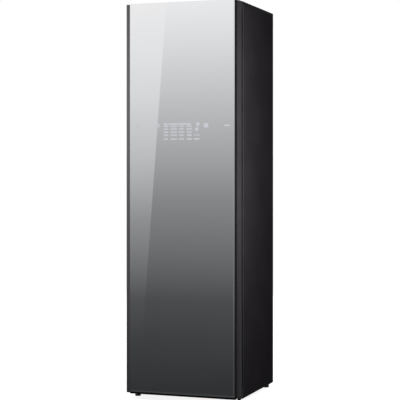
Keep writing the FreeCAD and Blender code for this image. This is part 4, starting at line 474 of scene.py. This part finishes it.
# black satin trim of moulded ABS
trimGloss = speckled("satinBlackAbs", "0f0f10", roughness=0.45, dark="0e0e0f", light="111112",
                     grain=0.02, depth=0.0001, ior=1.53, specular=0.003)

# metallic paint on the door's steel surround: dark, with fine flakes
doorPaint = speckled("metallicPaint", "252326", roughness=0.6, dark="232124", light="272528",
                     grain=0.0009, depth=0.00003, spread=(0.56, 0.64), ior=1.5, specular=0.02)

# anodised aluminium extrusion, brushed lengthwise, with painted light and shade: pale above, darker
# towards the floor
gripAluminiumPaintedShading, shader, place = startMaterial(
    "anodisedExtrusionPaintedShading", "4c494c", metallic=0.2, roughness=0.55, specular=0.1)
lines = brush(gripAluminiumPaintedShading, shader, place, "z", "eeeeee", "ffffff")
# painted light and shade by height, laid over the brushed lines
axes, height = addHeight(gripAluminiumPaintedShading, place)
tones = addTones(gripAluminiumPaintedShading, height, (0.0, "383638"), (0.2, "4a474a"), (0.4, "585558"),
                 (0.62, "625f62"), (0.85, "615e61"), (1.0, "5a575a"))
wire(gripAluminiumPaintedShading, multiplyTones(gripAluminiumPaintedShading, tones, lines), shader.inputs["Base Color"])

# soft dark elastomer seal
gasketSoft = speckled("sealElastomer", "38393b", roughness=0.62, dark="353638", light="3d3e40",
                      grain=0.002, depth=0.00008, spread=(0.56, 0.7), ior=1.45, specular=0.2)

# dark painted steel hinges
hingePaint = speckled("hingePaint", "1e1f21", roughness=0.5, dark="1c1d1f", light="222325",
                      grain=0.001, depth=0.00004, spread=(0.45, 0.55), ior=1.5, specular=0.02)

# the same powder coat where the sheet is bent round, a touch lighter: a painted highlight along the fold
foldPaintedHighlight = speckled("foldPaintedHighlight", "333134", roughness=0.6, dark="302e31", light="373538",
                      grain=0.0012, depth=0.00004, spread=(0.56, 0.64), ior=1.5, specular=0.0)

# moulded press board: firm, with a linen-like grain whose threads lie 1.2 mm apart
pressBoardGrain, shader, place = startMaterial("linenGrainBoard", "8f9195", roughness=0.62, ior=1.5)
threadsX = addBands(pressBoardGrain, place, "X", scale=260)
threadsZ = addBands(pressBoardGrain, place, "Z", scale=260)
weave = addNode(pressBoardGrain, "Math", {"operation": "ADD"}, {0: threadsX, 1: threadsZ})
addBump(pressBoardGrain, shader, weave.outputs["Value"], strength=0.35, distance=0.0002)
tones = addTones(pressBoardGrain, threadsX, (0.0, "898b8f"), (1.0, "96989c"))
wire(pressBoardGrain, tones, shader.inputs["Base Color"])

# gloss pale ABS: the press cover
pressPlastic = speckled("glossPaleAbs", "b2b4b7", roughness=0.3, dark="afb1b4", light="b6b8bb",
                        grain=0.02, depth=0.0001, ior=1.53)

print("materials made")


# camera, light and floor

viewSet = {"place": (2.1947, -5.8604, 1.1236), "turn": 0.3267, "sensor": 36, "lens": 110.17,
           "shiftX": -0.1, "shiftY": -0.0693, "reach": 60}
deselectAll()
bpy.ops.object.camera_add(location=viewSet["place"], rotation=(math.pi/2, 0, viewSet["turn"]))
camera = bpy.context.object
camera.name = "viewCamera"
camera.data.sensor_width = viewSet["sensor"]
camera.data.lens = viewSet["lens"]
camera.data.shift_x = viewSet["shiftX"]
camera.data.shift_y = viewSet["shiftY"]
camera.data.clip_end = viewSet["reach"]
scene.camera = camera

scene.view_settings.view_transform = "Standard"

lightSet = {"world": 0.28, "floorGlow": 0.88, "floorInMirror": 0.88}
lampSet = [
    # name, place, aimed at, width and height, power
    ("keyPanel", (-1.1, -1.6, 1.75), (-0.1, -0.3, 1.4), (0.9, 0.9), 30),
    ("sidePanel", (0.7, -0.6, 1.26), (0.29, -0.18, 1.24), (0.25, 1.3), 18),
    ("topPanel", (0.0, 0.6, 4.6), (0, 0, 0.6), (2.0, 2.0), 45),
    ("rearPanel", (-1.0, 4.4, 2.6), (0, 0, 1.0), (2.4, 2.4), 90),
]
for lampName, place, aim, (wide, tall), power in lampSet:
    deselectAll()
    bpy.ops.object.light_add(type="AREA", location=place)
    lamp = bpy.context.object
    lamp.name = lampName
    lamp.rotation_mode = "QUATERNION"
    lamp.rotation_quaternion = (Vector(aim) - Vector(place)).to_track_quat("-Z", "Y")
    lamp.data.shape = "RECTANGLE"
    lamp.data.size = wide
    lamp.data.size_y = tall
    lamp.data.energy = power
    lamp.visible_glossy = False
    lamp.visible_camera = False


def addSeenRays(material, cameraShare, polishShare, otherwise):
    # one strength to the camera, one in polished surfaces and clear plastic, one where light is gathered
    paths = addNode(material, "LightPath")
    polish = addNode(material, "Math", {"operation": "MAXIMUM"}, {
        0: paths.outputs["Is Glossy Ray"], 1: paths.outputs["Is Transmission Ray"]})
    first = addNode(material, "MapRange", {"To Min": otherwise, "To Max": polishShare},
                    {"Value": polish.outputs["Value"]})
    both = addNode(material, "Mix", {"data_type": "FLOAT", 3: cameraShare}, {
        0: paths.outputs["Is Camera Ray"], 2: first.outputs["Result"]})
    return both.outputs[0]


# the world lights gently, and is white to look at
world = bpy.data.worlds.new("studio")
world.use_nodes = True
scene.world = world
backdrop = world.node_tree.nodes["Background"]
backdrop.inputs["Color"].default_value = (1, 1, 1, 1)
wire(world, addSeenRays(world, 1.0, 1.0, lightSet["world"]), backdrop.inputs["Strength"])

# pale floor, large enough to meet the white background: it keeps the cabinet's shadow
deselectAll()
bpy.ops.mesh.primitive_plane_add(size=viewSet["reach"], location=(0, 0, 0))
floor = settle(bpy.context.object, "studioFloor")
floorPaint, shader, place = startMaterial("mattFloorPaint", "acacac", roughness=0.9, specular=0.0)
speckle(floorPaint, shader, place, "aaaaaa", "aeaeae", grain=0.02, depth=0.0001)
glow = addSeenRays(floorPaint, lightSet["floorGlow"], lightSet["floorInMirror"], 0.0)
shader.inputs["Emission Color"].default_value = (1, 1, 1, 1)
wire(floorPaint, glow, shader.inputs["Emission Strength"])
floor.data.materials.append(floorPaint)
print("camera, light and floor ready")


# door: mirror pane

# silvered glass, smoke-tinted: it mirrors the pale room, and a painted reflection in its colour keeps it
# pale above and darkening towards the floor, with a painted window reflection: a slanted lighter band on
# its left
mirrorPaintedReflection, shader, place = startMaterial("smokeMirrorPaintedReflection", "b0b1b3", metallic=1.0, roughness=0.05)
axes, height = addHeight(mirrorPaintedReflection, place)
# painted reflection by height: one plain, one with the lighter window band
paintedPlainReflection = addTones(mirrorPaintedReflection, height, (0.0, "292a2b"), (0.07, "303132"), (0.132, "3b3c3d"),
                 (0.24, "4a4b4c"), (0.496, "858688"), (0.75, "bebfc1"), (0.9, "dadbdd"), (1.0, "e8e9eb"))
paintedWindowReflection = addTones(mirrorPaintedReflection, height, (0.0, "292a2b"), (0.07, "303132"), (0.132, "3c3d3e"),
                  (0.24, "4f5051"), (0.445, "8f9092"), (0.602, "babbbd"), (0.76, "d5d6d8"),
                  (0.864, "e0e1e3"), (1.0, "eaeaeb"))
# where the painted window reflection lies: the slope and start of its slanted edge, and its softness
paintedWindowSet = {"slope": -0.0768, "start": 0.2177, "blur": 0.003}
edge = addNode(mirrorPaintedReflection, "Math", {
    "operation": "MULTIPLY_ADD", 1: paintedWindowSet["slope"], 2: paintedWindowSet["start"]}, {0: axes.outputs["Z"]})
across = addNode(mirrorPaintedReflection, "Math", {"operation": "ADD"}, {
    0: axes.outputs["X"], 1: edge.outputs["Value"]})
paintedWindowMask = addNode(mirrorPaintedReflection, "MapRange", {
    "From Min": paintedWindowSet["blur"], "From Max": -paintedWindowSet["blur"]}, {"Value": across.outputs["Value"]})
paintedMirrorColour = addNode(mirrorPaintedReflection, "Mix", {"data_type": "RGBA"}, {
    0: paintedWindowMask.outputs["Result"], 6: paintedPlainReflection, 7: paintedWindowReflection})
wire(mirrorPaintedReflection, paintedMirrorColour.outputs[2], shader.inputs["Base Color"])

# ground glass edge with the dark backing showing through
groundEdge = speckled("groundGlassEdge", "1c1d1e", roughness=0.5, dark="1a1b1c", light="202122",
                      grain=0.004, depth=0.00005, ior=1.52, specular=0.05)

# polished bevel round the pane: the same silver, turned away, with a painted reflection by height and a
# painted highlight that makes it a little lighter
bevelPaintedHighlight, shader, place = startMaterial("polishedBevelPaintedHighlight", "8f9091", metallic=1.0, roughness=0.12)
axes, height = addHeight(bevelPaintedHighlight, place)
tones = addTones(bevelPaintedHighlight, height, (0.0, "363738"), (0.1, "3f4041"), (0.195, "515253"), (0.4, "78797a"),
                 (0.6, "9fa0a1"), (0.8, "c8c9ca"), (1.0, "e3e4e5"))
wire(bevelPaintedHighlight, tones, shader.inputs["Base Color"])

paneSet = {"bevelWide": 0.008, "bevelDeep": 0.0009, "faceBehind": 0.0003, "rightLip": 0.0042,
           "lipGap": 0.0002, "lipBehind": 0.0004}
low = paneLow + Vector((0, paneSet["faceBehind"], 0))
high = paneHigh - Vector((paneSet["rightLip"], 0, 0))
mirrorPane = addBlock("mirrorPane", low, high)
pickFaces(mirrorPane, lambda centre, normal: normal.y < -slack["squarely"])
bpy.ops.mesh.inset(thickness=paneSet["bevelWide"], depth=0)
backToObject()


def onRim(first, second):
    # an outer edge of the pane's front face
    onSide = same(first.x, second.x) and (same(first.x, low.x) or same(first.x, high.x))
    onEnd = same(first.z, second.z) and (same(first.z, low.z) or same(first.z, high.z))
    return max(first.y, second.y) < low.y + slack["face"] and (onSide or onEnd)


pickEdges(mirrorPane, onRim)
bpy.ops.transform.translate(value=(0, paneSet["bevelDeep"], 0))
backToObject()
fit(mirrorPane, mirrorPaintedReflection, "door_glass")
mirrorPane.data.materials.append(groundEdge)
mirrorPane.data.materials.append(bevelPaintedHighlight)
# the pane's sides take the ground edge; the right and bottom bevels take the painted highlight, the left
# and top keep the face's painted reflection
for face in mirrorPane.data.polygons:
    if face.normal.y > -slack["squarely"]:
        face.material_index = 1
    elif face.normal.x > slack["leaning"] or face.normal.z < -slack["leaning"]:
        face.material_index = 2
print("mirror pane")

# door: lit marks in the glass

# marks that glow faintly through the silver: pale lilac, etched into its back
etchedMark, shader, place = startMaterial("etchedMark", "4c4c52", roughness=0.5, specular=0.1,
                                          glow=0.8)
haze = addNode(etchedMark, "TexNoise", {"Scale": 160, "Detail": 2}, {"Vector": place})
tones = addTones(etchedMark, haze.outputs["Fac"], (0.25, "b5b6bb"), (0.75, "cfd0d5"))
wire(etchedMark, tones, shader.inputs["Emission Color"])

# bars in columns and rows under a header, discs above and beside them, and a short bar at the side
markSet = {
    "thick": 0.0004, "barTall": 0.0075, "headerTall": 0.009, "sideTall": 0.006, "thinShare": 0.6,
    "endShare": 0.48, "endSteps": 5, "discSides": 24, "ringShare": 0.3, "ringIn": 0.0001,
    "columns": [(-0.0817, -0.0574), (-0.0453, -0.0112), (-0.0013, 0.0249), (0.0389, 0.0665)],
    "shortColumn": (0.0764, 0.1064),
    "rows": [1.3478, 1.3346, 1.3194, 1.3044, 1.2856],
    "header": (-0.0817, 0.0629, 1.3589),
    "discs": [(-0.2195, 1.3525, 0.0075), (-0.1118, 1.3519, 0.010), (0.1395, 1.3508, 0.012),
              (0.0975, 1.357, 0.010), (0.0918, 1.333, 0.009)],
    "side": (0.2318, 0.2623, 1.3497),
}
markFront, markBack = paneLow.y, paneLow.y + markSet["thick"]


def addMark(left, right, middle, tall):
    # a thin bar with round ends
    mark = addBlock("mark", (left, markFront, middle - tall/2), (right, markBack, middle + tall/2))
    pickEdges(mark, lambda first, second: not same(first.y, second.y))
    bpy.ops.mesh.bevel(offset=tall*markSet["endShare"], segments=markSet["endSteps"])
    backToObject()
    return mark


def addDisc(middleX, middleZ, radius):
    # a thin disc with a raised rim
    disc = addRound("mark", radius, (middleX, markFront, middleZ), (middleX, markBack, middleZ),
                    markSet["discSides"])
    pickFaces(disc, lambda centre, normal: normal.y < -slack["squarely"])
    bpy.ops.mesh.inset(thickness=radius*markSet["ringShare"], depth=-markSet["ringIn"])
    backToObject()
    return disc


marks = [addMark(*markSet["header"], markSet["headerTall"])]
for left, right in markSet["columns"]:
    for middle in markSet["rows"]:
        marks.append(addMark(left, right, middle, markSet["barTall"]))
nextUp, lowest = markSet["rows"][-2:]
marks.append(addMark(*markSet["shortColumn"], lowest, markSet["barTall"]))
marks.append(addMark(*markSet["shortColumn"], nextUp, markSet["barTall"]*markSet["thinShare"]))
marks.append(addMark(*markSet["side"], markSet["sideTall"]))
for spot in markSet["discs"]:
    marks.append(addDisc(*spot))
litMarks = joinPieces("litMarks", marks)
fit(litMarks, etchedMark, "door_glass", replaces=False)
print("lit marks")


# door: trim, shell and grip

doorSet = {"trimRound": 0.0006, "shellRound": 0.0008, "gripRound": 0.0006, "moduleRound": 0.001,
           "linerRound": 0.003}
# the trim's lip covers the pane's right edge
lipLow = (paneHigh.x - paneSet["rightLip"] + paneSet["lipGap"],
          paneLow.y + paneSet["lipBehind"], paneLow.z)
sideLip = addBlock("sideLip", lipLow, paneHigh)
edgeTrim = joinPieces("edgeTrim", [copyNode("door_edge_trim", "edgeTrim"), sideLip])
soften(edgeTrim, doorSet["trimRound"])
fit(edgeTrim, trimGloss, "door_edge_trim")

refine("door_frame", "doorShell", doorPaint, doorSet["shellRound"])
refine("door_grip", "gripRail", gripAluminiumPaintedShading, doorSet["gripRound"])
refine("display_module", "displayModule", trimGloss, doorSet["moduleRound"])
refine("door_liner", "doorLiner", linerPlastic, doorSet["linerRound"], segments=3)
print("door shell, grip and liner")

# the seal's lobe is soft and hollow, so a groove runs along its crown
sealSet = {"lobeRound": 0.0006, "crownIn": 0.0018, "grooveDeep": 0.0008}
seal = copyNode("door_gasket", "doorSeal")
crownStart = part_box("door_gasket")[1].y - slack["face"]
pickFaces(seal, lambda centre, normal: normal.y > slack["squarely"] and centre.y > crownStart)
bpy.ops.mesh.inset(thickness=sealSet["crownIn"], depth=-sealSet["grooveDeep"])
backToObject()
soften(seal, sealSet["lobeRound"])
fit(seal, gasketSoft, "door_gasket")
print("door seal")

# trouser press on the door's inside
pressSet = {"boardRound": 0.0015, "coverRound": 0.001, "clampRound": 0.0008, "stripRound": 0.0006}
refine("press_board", "pressBoard", pressBoardGrain, pressSet["boardRound"])
refine("press_cover", "pressCover", pressPlastic, pressSet["coverRound"])
refine("trouser_clamp", "trouserClamp", nylonPart, pressSet["clampRound"])
refine("press_hinge", "pressHinge", nylonPart, pressSet["stripRound"])
print("trouser press")


# cabinet shell

shellSet = {"sheetRound": 0.0004, "foldDeep": 0.0045, "paintedHighlightWide": 0.009, "coverRound": 0.0012,
            "coverAngle": 50, "hingeRound": 0.0006, "pressedRound": 0.001, "louvreRound": 0.0003,
            "footRound": 0.0008, "glandRound": 0.0005}
for side in ("left", "right"):
    # each panel's front is folded round: black lining on the fold, painted shade for the gap where the
    # door's seal closes, and a painted highlight on a strip behind it
    panel = refine("side_panel_" + side, "sidePanel" + side.title(), sideSteel,
                   shellSet["sheetRound"], segments=1)
    panel.data.materials.append(foldPaintedHighlight)
    panel.data.materials.append(trimGloss)
    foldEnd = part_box("side_panel_" + side)[0].y + shellSet["foldDeep"]
    paintedHighlightEnd = foldEnd + shellSet["paintedHighlightWide"]
    pickFaces(panel, lambda centre, normal: True)
    bpy.ops.mesh.bisect(plane_co=(0, paintedHighlightEnd, 0), plane_no=(0, 1, 0))
    backToObject()
    # painted shade on the fold's front faces, a painted highlight on the strip round the outer side
    for face in panel.data.polygons:
        if face.center.y < foldEnd and face.normal.y < -slack["leaning"]:
            face.material_index = 2
        elif foldEnd < face.center.y < paintedHighlightEnd and abs(face.center.x) > cadHigh.x - slack["face"]:
            face.material_index = 1
refine("top_cover", "topCover", coverPlastic, shellSet["coverRound"], angle=shellSet["coverAngle"])
refine("upper_hinge", "upperHinge", hingePaint, shellSet["hingeRound"])
refine("lower_hinge", "lowerHinge", hingePaint, shellSet["hingeRound"])
refine("back_panel", "backPanel", galvanisedSheet, shellSet["pressedRound"])
refine("rear_service_cover", "serviceCover", galvanisedSheet, shellSet["louvreRound"], segments=1)
refine("base_frame", "basePan", motorBlack, shellSet["sheetRound"], segments=1)
refine("foot_left", "levellingFootLeft", blackRubber, shellSet["footRound"])
refine("foot_right", "levellingFootRight", blackRubber, shellSet["footRound"])
refine("rear_feet", "rearPads", blackRubber, shellSet["footRound"])
refine("cord_gland", "cordGland", blackRubber, shellSet["glandRound"])

# pan-head screws, each with a round driver recess
screwSet = {"headRound": 0.0004, "rimWide": 0.0016, "recessSlope": 0.0003, "recessDeep": 0.0009}
screws = copyNode("rear_screws", "rearScrews")
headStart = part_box("rear_screws")[1].y - slack["face"]
soften(screws, screwSet["headRound"])
pickFaces(screws, lambda centre, normal: normal.y > slack["squarely"] and centre.y > headStart)
bpy.ops.mesh.inset(thickness=screwSet["rimWide"], depth=0, use_individual=True)
bpy.ops.mesh.inset(thickness=screwSet["recessSlope"], depth=-screwSet["recessDeep"], use_individual=True)
backToObject()
fit(screws, zincScrew, "rear_screws")
print("cabinet shell")


# chamber and what hangs or lies in it

chamberSet = {"tubRound": 0.0015, "trayRound": 0.001, "grilleRound": 0.0005, "nozzleRound": 0.0008,
              "lightRound": 0.001, "railRound": 0.001, "wireRound": 0.0002, "filterRound": 0.0006}
refine("chamber_liner", "chamberTub", linerPlastic, chamberSet["tubRound"])
refine("floor_tray", "floorTray", trayPlastic, chamberSet["trayRound"])

# the outlet's rim carries a cheek at each end that closes the wall's opening beside the air riser
grilleSet = {"rim": 0.008, "cheekGap": 0.0005, "cheekSheet": 0.0015}
grilleLow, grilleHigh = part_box("air_outlet_grille")
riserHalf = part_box("air_riser")[1].x
cheekFront = grilleHigh.y + grilleSet["cheekGap"]
cheekBack = cheekFront + grilleSet["cheekSheet"]
cheekBottom, cheekTop = grilleLow.z + grilleSet["rim"], grilleHigh.z - grilleSet["rim"]
grilleParts = [copyNode("air_outlet_grille", "outletGrille")]
for side in (-1, 1):
    left, right = sorted((side*(riserHalf - grilleSet["rim"]), side*(grilleHigh.x - grilleSet["rim"])))
    grilleParts.append(addBlock("cheek", (left, cheekFront, cheekBottom), (right, cheekBack, cheekTop)))
grille = joinPieces("outletGrille", grilleParts)
soften(grille, chamberSet["grilleRound"], segments=1)
fit(grille, nylonPart, "air_outlet_grille")
refine("steam_nozzle", "steamNozzle", nylonPart, chamberSet["nozzleRound"])
refine("chamber_lights", "lightBars", lightOpal, chamberSet["lightRound"])
refine("hanger_rail", "hangerRail", brushedRail, chamberSet["railRound"])
refine("shelf_rack", "wireShelf", shelfWire, chamberSet["wireRound"], segments=1)

# the cassette's windows hold a fine woven mesh, in the sheet at the middle of its depth
filterSet = {"sheetHalf": 0.0008}
filterLow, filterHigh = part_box("lint_filter")
filterMiddle = (filterLow.y + filterHigh.y)/2
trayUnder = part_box("floor_tray")[0].z
lintCassette = refine("lint_filter", "lintCassette", filterFrame, chamberSet["filterRound"], segments=1)
lintCassette.data.materials.append(filterMesh)
for face in lintCassette.data.polygons:
    inSheet = abs(face.center.y - filterMiddle) < filterSet["sheetHalf"] and face.center.z < trayUnder
    if inSheet and abs(face.normal.y) > slack["squarely"]:
        face.material_index = 1
print("chamber")


# water tanks in the plinth's front

tankSet = {"bayRound": 0.0015, "tankRound": 0.0012, "lidRound": 0.001, "gripDeep": 0.015}
windowSet = {"wide": 0.016, "low": 0.03, "tall": 0.12, "inset": 0.03, "proud": 0.0012, "sunk": 0.0004,
             "endShare": 0.48, "endSteps": 8, "frameWide": 0.002, "frameDeep": 0.0006}
lineSet = {"count": 5, "wide": 0.008, "tall": 0.0009, "foot": 0.0003, "round": 0.0002}


def addLevelWindow(node, name):
    # a clear strip moulded into the tank's front, with raised lines to read the level by
    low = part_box(node)[0]
    front = low.y + tankSet["gripDeep"]
    face = front - windowSet["proud"]
    left, bottom = low.x + windowSet["inset"], low.z + windowSet["low"]
    window = addBlock(name, (left, face, bottom),
                      (left + windowSet["wide"], front + windowSet["sunk"], bottom + windowSet["tall"]))
    pickEdges(window, lambda first, second: not same(first.y, second.y))
    bpy.ops.mesh.bevel(offset=windowSet["wide"]*windowSet["endShare"], segments=windowSet["endSteps"])
    backToObject()
    pickFaces(window, lambda centre, normal: normal.y < -slack["squarely"])
    bpy.ops.mesh.inset(thickness=windowSet["frameWide"], depth=-windowSet["frameDeep"])
    backToObject()
    parts = [window]
    middle = left + windowSet["wide"]/2
    for step in range(1, lineSet["count"] + 1):
        height = bottom + windowSet["tall"]*step/(lineSet["count"] + 1)
        line = addBlock("line", (middle - lineSet["wide"]/2, face, height),
                        (middle + lineSet["wide"]/2, front - lineSet["foot"], height + lineSet["tall"]))
        soften(line, lineSet["round"], segments=1)
        parts.append(line)
    return joinPieces(name, parts)


refine("tank_bay", "tankBay", bayPlastic, tankSet["bayRound"])
for node, name in (("water_tank", "waterTank"), ("drain_tank", "drainTank")):
    refine(node, name, tankSmoke, tankSet["tankRound"])
    refine(node + "_lid", name + "Lid", lidPlastic, tankSet["lidRound"])
    fit(addLevelWindow(node, name + "Window"), levelClear, node, replaces=False)
print("water tanks")


# hanger drive over the chamber: folded sheet, a casting that slides, and its motor
driveSet = {"sheetRound": 0.0004, "castRound": 0.0008, "discRound": 0.0005, "motorRound": 0.0012}
refine("drive_base", "driveTray", galvanisedSheet, driveSet["sheetRound"], segments=1)
refine("motor_bridge", "motorBridge", galvanisedSheet, driveSet["sheetRound"], segments=1)
refine("rail_carriage", "railCarriage", castAluminium, driveSet["castRound"])
refine("crank_disc", "crankDisc", groundSteel, driveSet["discRound"], segments=1)
refine("drive_motor", "driveMotor", motorBlack, driveSet["motorRound"])
dress(groundSteel, "guide_rods")
print("hanger drive")


# machinery in the plinth: moulded ducts, welded cans and cast housings, all with rounded edges
plantSet = {"ductRound": 0.001, "canRound": 0.003, "castRound": 0.002, "pumpRound": 0.0008,
            "motorRound": 0.0012}
refine("heat_pump_duct", "pumpDuct", ductPlastic, plantSet["ductRound"], segments=1)
refine("blower_housing", "blowerScroll", ductPlastic, plantSet["ductRound"], segments=1)
refine("air_riser", "airRiser", ductPlastic, plantSet["ductRound"], segments=1)
refine("blower_motor", "blowerMotor", motorBlack, plantSet["motorRound"])
refine("compressor", "compressorCan", compressorPaint, plantSet["canRound"])
refine("steam_generator", "steamGenerator", castAluminium, plantSet["castRound"])
refine("pumps", "waterPumps", naturalAcetal, plantSet["pumpRound"], segments=1)
print("machinery")


# finishes on CAD nodes whose shape is right

dress(blackRubber, "compressor_mounts")
dress(foamBlock, "insulation", "door_insulation")
dress(coilFins, "evaporator", "condenser")
dress(wheelPlastic, "blower_wheel")
dress(copperPipe, "refrigerant_pipes")
dress(siliconeHose, "steam_pipe")
dress(naturalAcetal, "hinge_bushes")
dress(boardGreen, "control_board")
print("finishes on the other nodes")
